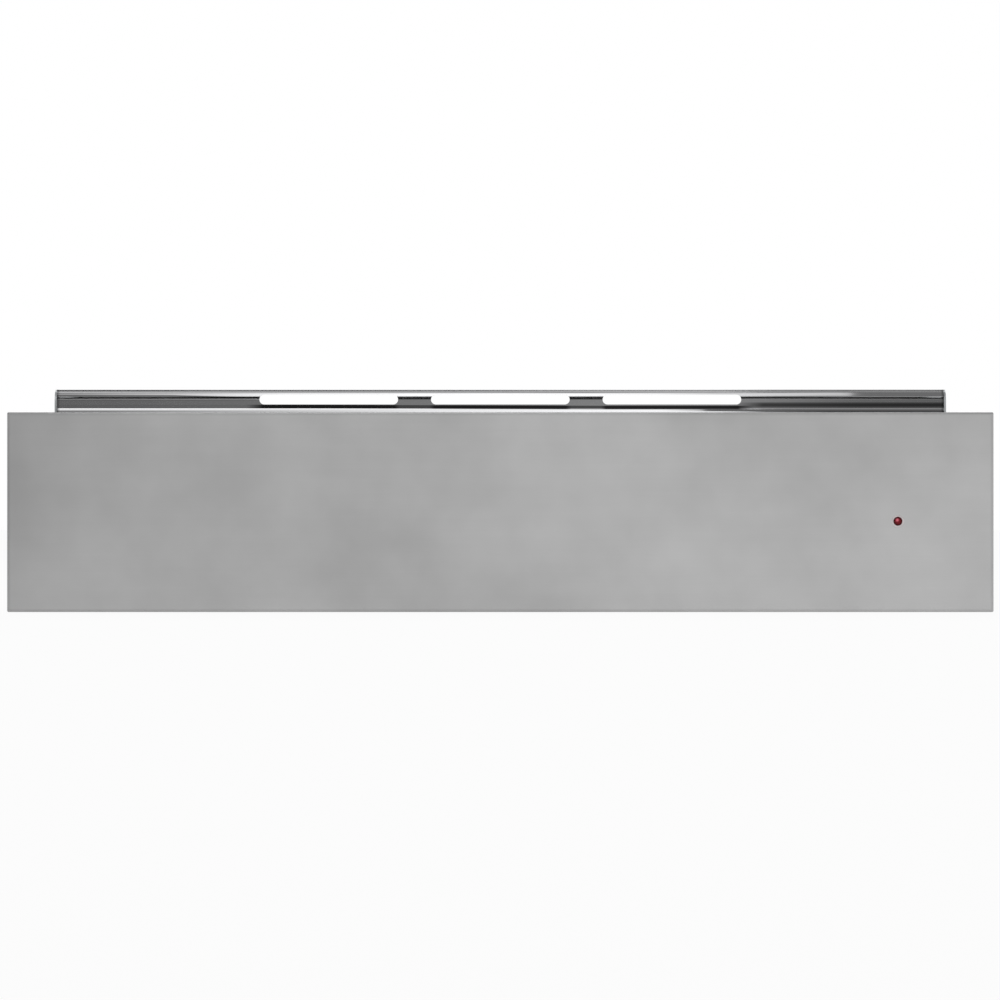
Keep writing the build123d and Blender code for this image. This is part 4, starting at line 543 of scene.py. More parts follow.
# Sintered bronze is porous, so its grey-brown surface is finely pitted and dull.
BRONZE = (0.5, 0.35, 0.19)
PORES_PER_METRE, PORE_DEPTH = 4000.0, 0.03 * MM
sintered, tree, shader = material("sintered bronze", BRONZE, metallic=0.9, roughness=0.5)
pores = node(tree, "TexVoronoi", {"Vector": on_piece(tree), "Scale": PORES_PER_METRE}).outputs[0]
tinted(tree, shader, BRONZE, ranged(tree, pores, low=0.7, high=1.1))
bumped(tree, shader, pores, PORE_DEPTH)
dressed("blower_bush", "wheel_bush", sintered, edge=0.3 * MM)

# ---------------------------------------------------------------------------- motor
# A shaded-pole motor drives the wheel. Its stack and its rotor are punched from electrical
# sheet, the coil is enamelled copper wire on the lower leg, and two brackets carry bushes.
LAMINATION, SEAM_DEPTH = 0.5 * MM, 0.03 * MM
STACK_GREY = (0.3, 0.3, 0.32)
WIRE, WIRE_DEPTH = 0.8 * MM, 0.2 * MM
COPPER = (0.6, 0.24, 0.1)


def ridged(tree, shader, colour, along, pitch, low, high, depth):
    """Ridges side by side along X or Y, dark in their furrows."""
    ridge = maths(tree, "SINE", maths(tree, "MULTIPLY", axes_of(tree)[along], 2 * pi / pitch))
    tinted(tree, shader, colour, ranged(tree, ridge, -1.0, 1.0, low, high))
    bumped(tree, shader, ridge, depth)


laminated, tree, shader = material("stacked electrical sheet", STACK_GREY, metallic=0.9, roughness=0.5)
ridged(tree, shader, STACK_GREY, "X", LAMINATION, low=0.72, high=1.08, depth=SEAM_DEPTH)
for source, name in (("motor_stator", "stator_stack"), ("motor_rotor", "rotor_stack")):
    dressed(source, name, laminated, edge=0.3 * MM)
dressed("motor_brackets", "bearing_brackets", plated, edge=0.3 * MM)
dressed("motor_bushes", "bearing_bushes", sintered, edge=0.2 * MM)

# The turns of the coil lie side by side along the leg, under a clear enamel, with painted shade
# in the furrows between them.
enamelled, tree, shader = material("enamelled copper wire", COPPER, metallic=0.7, roughness=0.3,
                                   coat_weight=0.6)
ridged(tree, shader, COPPER, "Y", WIRE, low=0.45, high=1.1, depth=WIRE_DEPTH)
dressed("motor_coil", "coil_winding", enamelled, edge=0.5 * MM, segments=3)

# ------------------------------------------------------------------ moulded pieces
# The small electrical pieces and the latch case are injection moulded, black and finely
# matt. They snap, screw or clamp to the sheets: cut-out, standoffs, terminals, air probe.

# The grain that a spark-eroded mould leaves on plastic and rubber.
moulded, given, result = effect("moulded grain", {"Grains Per Metre": 2500.0, "Contrast": 0.2},
                                ("Shade", "Height", "Roughness"))
place = on_piece(moulded)
fine = node(moulded, "TexNoise", {"Vector": place, "Scale": given["Grains Per Metre"], "Detail": 2.0})
wide = maths(moulded, "MULTIPLY", given["Grains Per Metre"], 0.02)
flow = node(moulded, "TexNoise", {"Vector": place, "Scale": wide, "Detail": 3.0}).outputs[0]
moulded.links.new(swing(moulded, flow, 0.5, given["Contrast"]), result["Shade"])
moulded.links.new(fine.outputs[0], result["Height"])
dull = ranged(moulded, flow, start=0.3, stop=0.7, low=0.42, high=0.56)
moulded.links.new(dull, result["Roughness"])


def plastic(name, colour, grains, relief, contrast=0.25):
    """A moulded plastic or rubber with its grain."""
    made, tree, shader = material(name, colour)
    skin = node(tree, "Group", {"Grains Per Metre": grains, "Contrast": contrast}, node_tree=moulded)
    tinted(tree, shader, colour, skin.outputs["Shade"], skin.outputs["Roughness"])
    bumped(tree, shader, skin.outputs["Height"], relief)
    return made


black_plastic = plastic("black moulded plastic", (0.03, 0.03, 0.033), grains=2500.0, relief=0.03 * MM)
for source, name, edge in (
        ("safety_cutout", "thermal_cutout", 0.3), ("board_standoffs", "board_posts", 0.3),
        ("terminal_block", "mains_terminals", 0.5), ("temperature_sensor", "air_probe", 0.3),
        ("gland_nut", "gland_lock_nut", 0.4), ("push_latch_body", "latch_case", 0.5)):
    dressed(source, name, black_plastic, edge=edge * MM)

# --------------------------------------------------------------------- cable gland
# The mains lead comes in through a plastic gland in the rear sheet: a hexagon against the
# sheet, a thread through it, and a dome nut with ribs whose mouth grips the lead.
gland_low, gland_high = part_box("cable_gland")
SHEET_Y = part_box("rear_panel")[1].y
GLAND_PLACE = ((gland_low.x + gland_high.x) / 2, SHEET_Y, (gland_low.z + gland_high.z) / 2)
GLAND_HEX = 20 * MM
GLAND_COLLAR = 2.2 * MM
GLAND_THREAD_RADIUS, GLAND_THREAD_EDGE = 7.9 * MM, 0.6 * MM
GLAND_DOME_RADIUS = 9.2 * MM
# The dome's shoulder: in from its radius and down from its top, in millimetres.
GLAND_SHOULDER = ((0, 1.8), (0.7, 0.8), (2.2, 0.15))
GLAND_MOUTH_RADIUS, GLAND_MOUTH_EDGE = 3.6 * MM, 0.8 * MM
GLAND_RIBS, GLAND_RIB = 18, 1 * MM
GLAND_RIB_ROOT, GLAND_RIB_OUT, GLAND_RIB_DROP = 0.3 * MM, 0.5 * MM, 1.6 * MM


def turned(profile, name, segments=64):
    """A round piece turned about Z from its outline of (radius, height)."""
    bm = bmesh.new()
    points = [bm.verts.new((radius, 0, height)) for radius, height in profile]
    edges = [bm.edges.new(pair) for pair in zip(points, points[1:])]
    bmesh.ops.spin(bm, geom=points + edges, cent=(0, 0, 0), axis=(0, 0, 1), angle=2 * pi, steps=segments,
                   use_merge=True, use_duplicate=False)
    bmesh.ops.remove_doubles(bm, verts=bm.verts, dist=TOUCHING)
    rims = [edge for edge in bm.edges if edge.is_boundary]
    if rims:
        bmesh.ops.holes_fill(bm, edges=rims, sides=0)
    bmesh.ops.recalc_face_normals(bm, faces=bm.faces)
    return bm


def laid(bm, verts, angle, axis, place):
    """A shape, or a part of one, turned about an axis and then moved to its place."""
    bmesh.ops.rotate(bm, cent=(0, 0, 0), matrix=Matrix.Rotation(angle, 3, axis), verts=verts)
    bmesh.ops.translate(bm, vec=place, verts=verts)


inner_end = gland_low.y - SHEET_Y
outer_end = gland_high.y - SHEET_Y
bm = turned(((GLAND_MOUTH_RADIUS, inner_end), (GLAND_THREAD_RADIUS - GLAND_THREAD_EDGE, inner_end),
             (GLAND_THREAD_RADIUS, inner_end + GLAND_THREAD_EDGE), (GLAND_THREAD_RADIUS, 0),
             (GLAND_DOME_RADIUS, 0),
             *[(GLAND_DOME_RADIUS - inward * MM, outer_end - down * MM) for inward, down in GLAND_SHOULDER],
             (GLAND_MOUTH_RADIUS + GLAND_MOUTH_EDGE, outer_end),
             (GLAND_MOUTH_RADIUS, outer_end - GLAND_MOUTH_EDGE),
             (GLAND_MOUTH_RADIUS, inner_end)), "gland", 72)
cone(bm, 6, GLAND_HEX / 3 ** 0.5, GLAND_HEX / 3 ** 0.5, 0, GLAND_COLLAR)
for number in range(GLAND_RIBS):
    rib = box_at(bm, (GLAND_DOME_RADIUS - GLAND_RIB_ROOT, GLAND_DOME_RADIUS + GLAND_RIB_OUT),
                 (-GLAND_RIB / 2, GLAND_RIB / 2), (GLAND_COLLAR, outer_end - GLAND_RIB_DROP))
    laid(bm, rib, 2 * pi * number / GLAND_RIBS, "Z", (0, 0, 0))
laid(bm, bm.verts, radians(-90), "X", GLAND_PLACE)
gland = placed("gland_with_dome", "housing", black_plastic, to_mesh(bm, "gland"))
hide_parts("cable_gland")

# -------------------------------------------------------------------- control board
# A green circuit board on four posts: transformer, relay, capacitor and a plug strip are
# soldered to it. Its tracks and solder points show through the lacquer.
SOLDER_MASK = (0.03, 0.16, 0.07)
TRACK_PITCH, TRACK_HEIGHT = 2.54 * MM, 0.03 * MM
board_green, tree, shader = material("circuit board", SOLDER_MASK, roughness=0.35, coat_weight=0.3)
cell = node(tree, "TexVoronoi", {"Vector": on_piece(tree), "Scale": 0.5 / TRACK_PITCH, "Randomness": 0.2},
            distance="CHEBYCHEV")
track = ranged(tree, cell.outputs[0], start=0.36, stop=0.4, low=0.8, high=1.7)
tinted(tree, shader, SOLDER_MASK, track)
bumped(tree, shader, track, TRACK_HEIGHT)
dressed("control_board", "circuit_board", board_green, edge=0.3 * MM)

# ------------------------------------------------------------- push latch, buffers
# The drawer has no handle. A sprung plunger in the latch case behind the partition throws
# it out when the front is pressed, and two rubber buffers stop it when it is pushed home.
dressed("push_latch_plunger", "latch_plunger_rod", plated, edge=0.6 * MM, segments=3)
rubber = plastic("black rubber", (0.035, 0.035, 0.035), grains=1200.0, relief=0.05 * MM)
dressed("rear_buffers", "rubber_buffers", rubber, edge=1.2 * MM, segments=4)

# ----------------------------------------------------------------------------- tray
# The tray is pressed from satin stainless sheet with rounded corners and an inward lip.
# Slots in its rear wall let the warm air through, and a plate there takes the plunger.
satin_stainless = stainless("satin stainless", (0.58, 0.58, 0.57), lines=1400.0, contrast=0.12,
                            relief=0.003 * MM, low=0.3, high=0.4)
dressed("drawer_box", "tray_sheet", satin_stainless)
dressed("striker_plate", "striker", galvanised, edge=0.3 * MM)

# -------------------------------------------------------------- glass plate and mat
# A loose plate of dark toughened glass covers the tray's floor and keeps the heat even.
# On it lies a thin silicone mat with rows of small round nubs, which hold plates still.
GLASS_TINT = (0.1, 0.105, 0.11)
glass, tree, shader = material("dark toughened glass", GLASS_TINT, roughness=0.06, coat_weight=0.4)
streaks = node(tree, "TexNoise", {"Vector": on_piece(tree), "Scale": 14.0, "Detail": 2.0})
tinted(tree, shader, GLASS_TINT, ranged(tree, streaks.outputs[0], low=0.85, high=1.15))
dressed("base_plate", "glass_plate", glass)

silicone = plastic("silicone mat", (0.05, 0.05, 0.055), grains=2000.0, relief=0.02 * MM)
dressed("non_slip_mat", "silicone_mat", silicone)

# The nubs stand in diagonal rows. One pair is made, and rows of it cover the mat.
NUB_STEP = 11.3 * MM
NUB_RADIUS, NUB_TOP_RADIUS = 1.6 * MM, 1.0 * MM
NUB_HEIGHT, NUB_SUNK = 0.5 * MM, 0.1 * MM
NUB_MARGIN = 5 * MM

mat_low, mat_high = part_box("non_slip_mat")
counts, firsts = [], []
for low, high in ((mat_low.x, mat_high.x), (mat_low.y, mat_high.y)):
    room = high - low - 2 * NUB_MARGIN - NUB_STEP / 2
    counts.append(int(room / NUB_STEP) + 1)
    firsts.append((low + high - (counts[-1] - 0.5) * NUB_STEP) / 2)
bm = bmesh.new()
for shift in (0, NUB_STEP / 2):
    cone(bm, 8, NUB_RADIUS, NUB_TOP_RADIUS, mat_high.z - NUB_SUNK, mat_high.z + NUB_HEIGHT,
         firsts[0] + shift, firsts[1] + shift)
nubs = placed("mat_nubs", "drawer", silicone, to_mesh(bm, "nubs", radians(60)))
for count, offset in zip(counts, ((NUB_STEP, 0, 0), (0, NUB_STEP, 0))):
    rows = nubs.modifiers.new("rows", "ARRAY")
    rows.use_relative_offset = False
    rows.use_constant_offset = True
    rows.constant_offset_displace = offset
    rows.count = count

# ---------------------------------------------------------- control bay and fascia
# A folded stainless bay joins the tray to the front and hides the back of the controls.
# The strip over it is seen when the drawer is open. It carries a screen-printed scale.
dressed("control_bay", "bay_sheet", satin_stainless)
front_stainless = stainless("front stainless", (0.61, 0.61, 0.61), lines=1500.0, contrast=0.03,
                            relief=0.0015 * MM, low=0.33, high=0.41, patches=9.0, clouds=0.6)
dressed("control_fascia", "control_strip", front_stainless)

FASCIA_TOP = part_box("control_fascia")[1].z
knob_low, knob_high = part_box("thermostat_knob")
KNOB_X, KNOB_Y = (knob_low.x + knob_high.x) / 2, (knob_low.y + knob_high.y) / 2
SCALE_STEPS = ("0", "30", "40", "50", "60", "70", "80")
SCALE_TURN = 270.0
SCALE_TICK_RADIUS, SCALE_TICK, SCALE_TICK_WIDTH = 17.2 * MM, 1.6 * MM, 0.4 * MM
SCALE_NUMBER_RADIUS, SCALE_NUMBER_HEIGHT = 22.2 * MM, 3.4 * MM
DIGIT_SHARE = 0.7  # a digit's height as a share of its type size
INK = 0.03 * MM

ink_black = plastic("screen-printed ink", (0.03, 0.03, 0.03), grains=900.0, relief=0.002 * MM, contrast=0.1)


def lettering(bm, text, height, x, y, z):
    """One number as a thin printed layer, centred on a place."""
    curve = bpy.data.curves.new(text, "FONT")
    curve.body = text
    curve.size = height / DIGIT_SHARE
    curve.extrude = INK / 2
    curve.resolution_u = 3
    curve.align_x = "CENTER"
    curve.align_y = "CENTER"
    drawn = in_scene(text, curve)
    bpy.context.view_layer.update()
    mesh = bpy.data.meshes.new_from_object(drawn.evaluated_get(bpy.context.evaluated_depsgraph_get()))
    bpy.data.objects.remove(drawn)
    mesh.transform(Matrix.Translation((x, y, z + INK / 2)))
    bm.from_mesh(mesh)
    bpy.data.meshes.remove(mesh)


bm = bmesh.new()
for number, text in enumerate(SCALE_STEPS):
    turn = radians(-90 - SCALE_TURN * number / (len(SCALE_STEPS) - 1))
    along = Matrix.Rotation(turn, 3, "Z") @ Vector((1, 0, 0))
    at = Vector((KNOB_X, KNOB_Y, 0)) + along * SCALE_NUMBER_RADIUS
    lettering(bm, text, SCALE_NUMBER_HEIGHT, at.x, at.y, FASCIA_TOP)
    tick = box_at(bm, (SCALE_TICK_RADIUS, SCALE_TICK_RADIUS + SCALE_TICK),
                  (-SCALE_TICK_WIDTH / 2, SCALE_TICK_WIDTH / 2), (0, INK))
    laid(bm, tick, turn, "Z", (KNOB_X, KNOB_Y, FASCIA_TOP))
placed("temperature_scale", "drawer", ink_black, to_mesh(bm, "scale"))

# --------------------------------------------------------------- thermostat control
# The control hangs under the strip, clamped by a flat plated nut on its thread. A turned
# spindle with a driving flat carries the knob, moulded with grips and a white pointer.
dressed("potentiometer", "control_case", black_plastic, edge=0.4 * MM)
bright_plate = plating("bright plate", (0.78, 0.78, 0.77), patches=220.0, low=0.1, high=0.2,
                       crystals=700.0, contrast=0.05)
for source, name in (("spindle_nut", "flat_nut"), ("spindle", "turned_spindle")):
    dressed(source, name, bright_plate, edge=0.2 * MM)

KNOB_HEIGHT = knob_high.z - knob_low.z
KNOB_HOLLOW_RADIUS, KNOB_HOLLOW = 8.6 * MM, 2.9 * MM
KNOB_SKIRT_RADIUS, KNOB_SKIRT = 15 * MM, 2.4 * MM
KNOB_FOOT_EDGE, KNOB_SKIRT_EDGE = 0.4 * MM, 0.6 * MM
KNOB_GRIP_RADIUS, KNOB_TOP_RADIUS = 11.4 * MM, 10.2 * MM
# Over the skirt: out from the grip's radius and up. At the top: in from the top's radius and down.
KNOB_FILLET = ((0.7, 0.2), (0, 0.9))
KNOB_SHOULDER = ((-0.2, 1.0), (0.2, 0.4), (0.8, 0.1), (1.4, 0))
KNOB_GRIPS, KNOB_GRIP_STEPS = 24, 4
KNOB_GRIP_DEPTH, KNOB_GRIP_LIP, KNOB_GRIP_SLOPE = 0.9 * MM, 0.25 * MM, 0.45 * MM
POINTER, POINTER_TIP, POINTER_ROOT, POINTER_SUNK = 1.1 * MM, 0.9 * MM, 3 * MM, 0.3 * MM

bm = turned(((0, KNOB_HOLLOW), (KNOB_HOLLOW_RADIUS, KNOB_HOLLOW), (KNOB_HOLLOW_RADIUS, 0),
             (KNOB_SKIRT_RADIUS - KNOB_FOOT_EDGE, 0), (KNOB_SKIRT_RADIUS, KNOB_FOOT_EDGE),
             (KNOB_SKIRT_RADIUS, KNOB_SKIRT - KNOB_SKIRT_EDGE),
             (KNOB_SKIRT_RADIUS - KNOB_SKIRT_EDGE, KNOB_SKIRT),
             *[(KNOB_GRIP_RADIUS + outward * MM, KNOB_SKIRT + up * MM) for outward, up in KNOB_FILLET],
             *[(KNOB_TOP_RADIUS - inward * MM, KNOB_HEIGHT - down * MM) for inward, down in KNOB_SHOULDER],
             (0, KNOB_HEIGHT)), "knob", KNOB_GRIPS * KNOB_GRIP_STEPS)
bm.normal_update()
# The grips are sunk into the side and its fillet, each over half of its steps round the knob.
side_low, side_high = KNOB_SKIRT + KNOB_FILLET[0][1] * MM, KNOB_HEIGHT - KNOB_SHOULDER[0][1] * MM
sides = [face for face in bm.faces if side_low < face.calc_center_median().z < side_high
         and face.calc_center_median().xy.length > KNOB_HOLLOW_RADIUS]
sides.sort(key=lambda face: face.calc_center_median().xy.angle_signed(Vector((1, 0))))
per_grip = len(sides) // KNOB_GRIPS
for first in range(0, len(sides), per_grip):
    grip = sides[first:first + per_grip // 2]
    bmesh.ops.inset_region(bm, faces=grip, thickness=KNOB_GRIP_LIP, depth=-KNOB_GRIP_LIP)
    bmesh.ops.inset_region(bm, faces=grip, thickness=KNOB_GRIP_SLOPE, depth=KNOB_GRIP_LIP - KNOB_GRIP_DEPTH)
bmesh.ops.translate(bm, vec=(KNOB_X, KNOB_Y, knob_low.z), verts=bm.verts)
knob = placed("fluted_knob", "thermostat_knob", black_plastic, to_mesh(bm, "knob"))
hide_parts("thermostat_knob")

white_ink = plastic("white inlay", (0.75, 0.75, 0.73), grains=1500.0, relief=0.01 * MM, contrast=0.1)
bm = bmesh.new()
box_at(bm, (KNOB_X - POINTER / 2, KNOB_X + POINTER / 2),
       (KNOB_Y - KNOB_TOP_RADIUS + POINTER_TIP, KNOB_Y - POINTER_ROOT),
       (knob_high.z - POINTER_SUNK, knob_high.z + INK))
placed("knob_pointer", "thermostat_knob", white_ink, to_mesh(bm, "pointer"))

# --------------------------------------------------------------------------- switch
# Beside the knob a snap-in switch sits in the strip: a black case with a raised rim, and a
# rocker on two pins whose hollow face carries a white printed bar and ring.
dressed("switch_body", "switch_case", black_plastic, edge=0.3 * MM, segments=3)
dressed("power_rocker", "switch_rocker", black_plastic, edge=0.35 * MM, segments=3)

rocker_low, rocker_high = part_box("power_rocker")
ROCKER_PIN_DROP = 1 * MM
ROCKER_PINS = Vector(((rocker_low.x + rocker_high.x) / 2, KNOB_Y, FASCIA_TOP - ROCKER_PIN_DROP))
# The marks' places from the pins, and the slopes of the rocker's face there.
ON_PLACE, ON_SLOPE = Vector((0, -4.51, 4.76)) * MM, radians(-17.6)
OFF_PLACE, OFF_SLOPE = Vector((0, 5.87, 2.93)) * MM, radians(-2.4)
MARK_BAR, MARK_WIDTH, MARK_RING = 4.0 * MM, 0.7 * MM, 1.9 * MM

bar = bmesh.new()
box_at(bar, (-MARK_WIDTH / 2, MARK_WIDTH / 2), (-MARK_BAR / 2, MARK_BAR / 2), (0, INK))
ring_in, ring_out = MARK_RING - MARK_WIDTH / 2, MARK_RING + MARK_WIDTH / 2
ring = turned(((ring_in, 0), (ring_out, 0), (ring_out, INK), (ring_in, INK), (ring_in, 0)), "off mark", 40)
for name, bm, place, slope in (("on_mark", bar, ON_PLACE, ON_SLOPE),
                               ("off_mark", ring, OFF_PLACE, OFF_SLOPE)):
    laid(bm, bm.verts, slope, "X", ROCKER_PINS + place)
    placed(name, "power_rocker", white_ink, to_mesh(bm, name))

# --------------------------------------------------------------------- front panel
# The front is one satin stainless sheet folded back on all four sides, with soft edges and
# no handle. A galvanised tray closes it from behind, and screws from the bay hold it.
dressed("front_backing", "front_backing_tray", galvanised)
hexagon_screws("front_screws", "front_fixing_screws", lambda middle: Vector((0, 1, 0)))

front_low, front_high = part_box("front_panel")
lens_low, lens_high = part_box("indicator_lens")
sleeve_low, sleeve_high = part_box("lamp_holder")
LAMP_X, LAMP_Z = (lens_low.x + lens_high.x) / 2, (lens_low.z + lens_high.z) / 2
LENS_RADIUS = (lens_high.x - lens_low.x) / 2
BEZEL_RADIUS = (sleeve_high.x - sleeve_low.x) / 2
SLEEVE_RADIUS = LENS_RADIUS + 0.5 * MM
SLEEVE_GAP, DRILL_REACH = 0.05 * MM, 4 * MM
FRONT_SHEET = 1.0 * MM
FRONT_EDGE_RADIUS, FRONT_EDGE_STEPS = 0.9 * MM, 6
FRONT_EDGE_SHADE, FRONT_EDGE_FROM, FRONT_EDGE_TO = 0.78, 0.3 * MM, 2.2 * MM
FRONT_LEFT_SHADE, FRONT_LEFT_WIDTH = 0.86, 45 * MM

# Towards its four folds the sheet curves away from the light, so its border is painted a shade
# darker, as painted shade.
tree = front_stainless.node_tree
shader = tree.nodes["Principled BSDF"]
shade = shader.inputs["Base Color"].links[0].from_socket
axes = axes_of(tree)
from_sides = maths(tree, "SUBTRACT", front_high.x, maths(tree, "ABSOLUTE", axes["X"]))
upright = maths(tree, "ABSOLUTE", maths(tree, "SUBTRACT", axes["Z"], (front_low.z + front_high.z) / 2))
from_top_or_foot = maths(tree, "SUBTRACT", (front_high.z - front_low.z) / 2, upright)
nearest = maths(tree, "MINIMUM", from_sides, from_top_or_foot)
border = ranged(tree, nearest, FRONT_EDGE_FROM, FRONT_EDGE_TO, FRONT_EDGE_SHADE)
# Its left end is painted a little darker than the rest, as painted shade.
left = ranged(tree, axes["X"], front_low.x, front_low.x + FRONT_LEFT_WIDTH, FRONT_LEFT_SHADE)
tree.links.new(scaled(tree, shade, maths(tree, "MULTIPLY", border, left)), shader.inputs["Base Color"])


def facing_front(bm):
    """Turns a piece made upright about Z to face out of the front, and moves it to the lamp."""
    laid(bm, bm.verts, radians(90), "X", (LAMP_X, front_low.y, LAMP_Z))
    return bm


bm = bmesh.new()
box_at(bm, (front_low.x, front_high.x), (front_low.y, front_high.y), (front_low.z, front_high.z))
back = max(bm.faces, key=lambda face: face.calc_center_median().y)
bmesh.ops.delete(bm, geom=[back], context="FACES_ONLY")
rounded(bm, [edge for edge in bm.edges if not edge.is_boundary], FRONT_EDGE_RADIUS, FRONT_EDGE_STEPS)
hole = bmesh.new()
cone(hole, 48, SLEEVE_RADIUS + SLEEVE_GAP, SLEEVE_RADIUS + SLEEVE_GAP, -DRILL_REACH, DRILL_REACH)
bm = worked(bm, "front", wall=FRONT_SHEET, cutters=[facing_front(hole)])
front = placed("front_sheet", "drawer", front_stainless, to_mesh(bm, "front"))
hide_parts("front_panel")
weighted(front)

# ------------------------------------------------------------------ indicator lamp
# The lamp is pushed through the front and the backing and held by a clip ring from inside.
# A thin bright bezel shows round its red lens, which is slightly domed and unlit.
dressed("lamp_clip", "lamp_ring", black_plastic, edge=0.3 * MM)

bezel_top = front_low.y - sleeve_low.y
tail = front_low.y - sleeve_high.y
seat = front_low.y - lens_high.y
dome = front_low.y - lens_low.y
LENS_GAP, LENS_LEAD = 0.02 * MM, 0.15 * MM
# The bezel's outside: in from its radius in millimetres, and a share of its height.
BEZEL_CURVE = ((0, 0), (0, 0.4), (0.15, 0.85), (0.45, 1.0))
BEZEL_MOUTH, BEZEL_MOUTH_EDGE = 0.9, 0.5
# The lens's dome, as shares of its radius and of its height.
LENS_DOME = ((1.0, 0.35), (0.97, 0.55), (0.88, 0.74), (0.7, 0.88), (0.4, 0.97), (0.0, 1.0))
BEZEL_PALE = (0.78, 0.72, 0.72)
LENS_RED, LENS_MIDDLE, LENS_RIM, LENS_FADE = (0.2, 0.001, 0.008), 1.3, 0.25, 0.4
LENS_HIGHLIGHT_PINK = (0.9, 0.24, 0.3)
LENS_HIGHLIGHT_RADIUS, LENS_HIGHLIGHT_CORE = 1.5 * MM, 0.1
LENS_HIGHLIGHT_SHIFT, LENS_HIGHLIGHT_RISE = 0.4 * MM, 0.7 * MM

satin_bezel, tree, shader = material("satin plated bezel", BEZEL_PALE, metallic=0.75)
zinc = node(tree, "Group", {"Crystals Per Metre": 1500.0, "Contrast": 0.05}, node_tree=spangle)
tinted(tree, shader, BEZEL_PALE, zinc.outputs["Shade"], zinc.outputs["Roughness"])
bm = turned(((0, tail), (SLEEVE_RADIUS, tail), (SLEEVE_RADIUS, 0),
             *[(BEZEL_RADIUS - inward * MM, bezel_top * share) for inward, share in BEZEL_CURVE],
             (LENS_RADIUS + LENS_LEAD, bezel_top * BEZEL_MOUTH),
             (LENS_RADIUS + LENS_GAP, bezel_top * BEZEL_MOUTH_EDGE),
             (LENS_RADIUS + LENS_GAP, seat), (0, seat)), "lamp")
holder = placed("bezel_and_sleeve", "drawer", satin_bezel, to_mesh(facing_front(bm), "bezel"))
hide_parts("lamp_holder")


def distance_from(tree, x, y, z):
    """The distance on the piece from a point."""
    moved = node(tree, "Mapping", {"Vector": on_piece(tree), "Location": (-x, -y, -z)})
    return node(tree, "VectorMath", {0: moved.outputs[0]}, operation="LENGTH").outputs["Value"]


# The lens is painted darker towards its rim, as painted shade on its dome, and a pale pink highlight
# is painted on it above and left of its middle.
red_lens, tree, shader = material("clear red lens", LENS_RED, roughness=0.1, specular_ior_level=0.22)
away = distance_from(tree, LAMP_X, lens_low.y, LAMP_Z)
depth = ranged(tree, away, LENS_RADIUS * LENS_FADE, LENS_RADIUS, LENS_MIDDLE, LENS_RIM)
near = distance_from(tree, LAMP_X - LENS_HIGHLIGHT_SHIFT, lens_low.y, LAMP_Z + LENS_HIGHLIGHT_RISE)
spot = ranged(tree, near, LENS_HIGHLIGHT_CORE * LENS_HIGHLIGHT_RADIUS, LENS_HIGHLIGHT_RADIUS, 1.0, 0.0, interpolation_type="SMOOTHSTEP")
both = node(tree, "VectorMath", {0: scaled(tree, LENS_RED, depth), 1: scaled(tree, LENS_HIGHLIGHT_PINK, spot)},
            operation="ADD")
tree.links.new(both.outputs[0], shader.inputs["Base Color"])
bm = turned(((0, seat), (LENS_RADIUS, seat),
             *[(LENS_RADIUS * out, dome * up) for out, up in LENS_DOME]), "lens")
lens = placed("red_lens_dome", "drawer", red_lens, to_mesh(facing_front(bm), "lens"))
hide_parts("indicator_lens")

# --------------------------------------------------------- floor, light and camera
# A pale floor in a pale room, lit by one soft box from in front and one from above. What the
# bright rail mirrors is two long light cards overhead, and a grey screen and a dark flag
# behind the camera.
ROOM_DEPTH, ROOM_DEPTH_LEVELS = (-0.3, 0.6), (0.95, 1.0)
ROOM_RISE, ROOM_RISE_LEVELS = (0.1, 0.6), (1.0, 0.2)
FLOOR_PALE, FLOOR_REACH = (0.9, 0.9, 0.9), 6.0
FLOOR_SEEN, FLOOR_MIRRORED = 0.95, 0.6
# Each soft box has its place, the point it shines at, its size in metres and its watts.
SOFT_BOXES = (
    ("key soft box", (-0.15, -1.9, 1.5), (0, 0, 0.06), (0.9, 1.2), 5.0),
    ("top soft box", (0, 0.7, 1.7), (0, 0.1, 0), (1.4, 1.0), 7.0),
)
# Each card has its limits along X, Y and Z, and its strength at places along X.
LIGHT_CARDS = (
    ("upper band light", (-0.6, 0.323), (-0.5, -0.38), (1.25, 1.26),
     ((-0.4, 0.4), (-0.3, 0.75), (-0.2, 1.3), (0.0, 1.5), (0.14, 1.35), (0.2, 1.0), (0.32, 0.72))),
    ("lower band light", (-0.6, 0.19), (-0.7, -0.54), (1.25, 1.26),
     ((-0.5, 1.0), (-0.2, 1.1), (0.0, 1.25), (0.15, 1.3), (0.19, 0.7))),
    ("grey screen", (-0.75, 0.75), (-2.7, -2.69), (0.08, 0.34),
     ((-0.6, 0.15), (-0.45, 0.17), (-0.1, 0.24), (0.2, 0.3), (0.33, 0.29), (0.45, 0.18), (0.7, 0.15))),
    ("left flag", (-2.4, -0.75), (-2.74, -2.72), (0.0, 1.8), ((-2.0, 0.1), (-1.2, 0.15), (-0.8, 0.5))),
)
CAMERA_PLACE = (-0.0002, -2.4742, 0.0696)
CAMERA_LENS, CAMERA_SENSOR = 131.35, 36.0

# The room is white to the camera and through glass, and dimmer overhead to everything else.
room = bpy.data.worlds.new("pale room")
bpy.context.scene.world = room
room.use_nodes = True
tree = room.node_tree
background = tree.nodes["Background"]
towards = node(tree, "SeparateXYZ", {0: node(tree, "TexCoord").outputs["Generated"]}).outputs
depth = ranged(tree, towards["Y"], *ROOM_DEPTH, *ROOM_DEPTH_LEVELS)
rise = ranged(tree, towards["Z"], *ROOM_RISE, *ROOM_RISE_LEVELS)
seen = node(tree, "LightPath").outputs
white = maths(tree, "MAXIMUM", seen["Is Camera Ray"], seen["Is Transmission Ray"])
strength = node(tree, "Mix", {0: white, 2: maths(tree, "MULTIPLY", depth, rise), 3: 1.0})
tree.links.new(strength.outputs[0], background.inputs["Strength"])
background.inputs["Color"].default_value = (1, 1, 1, 1)

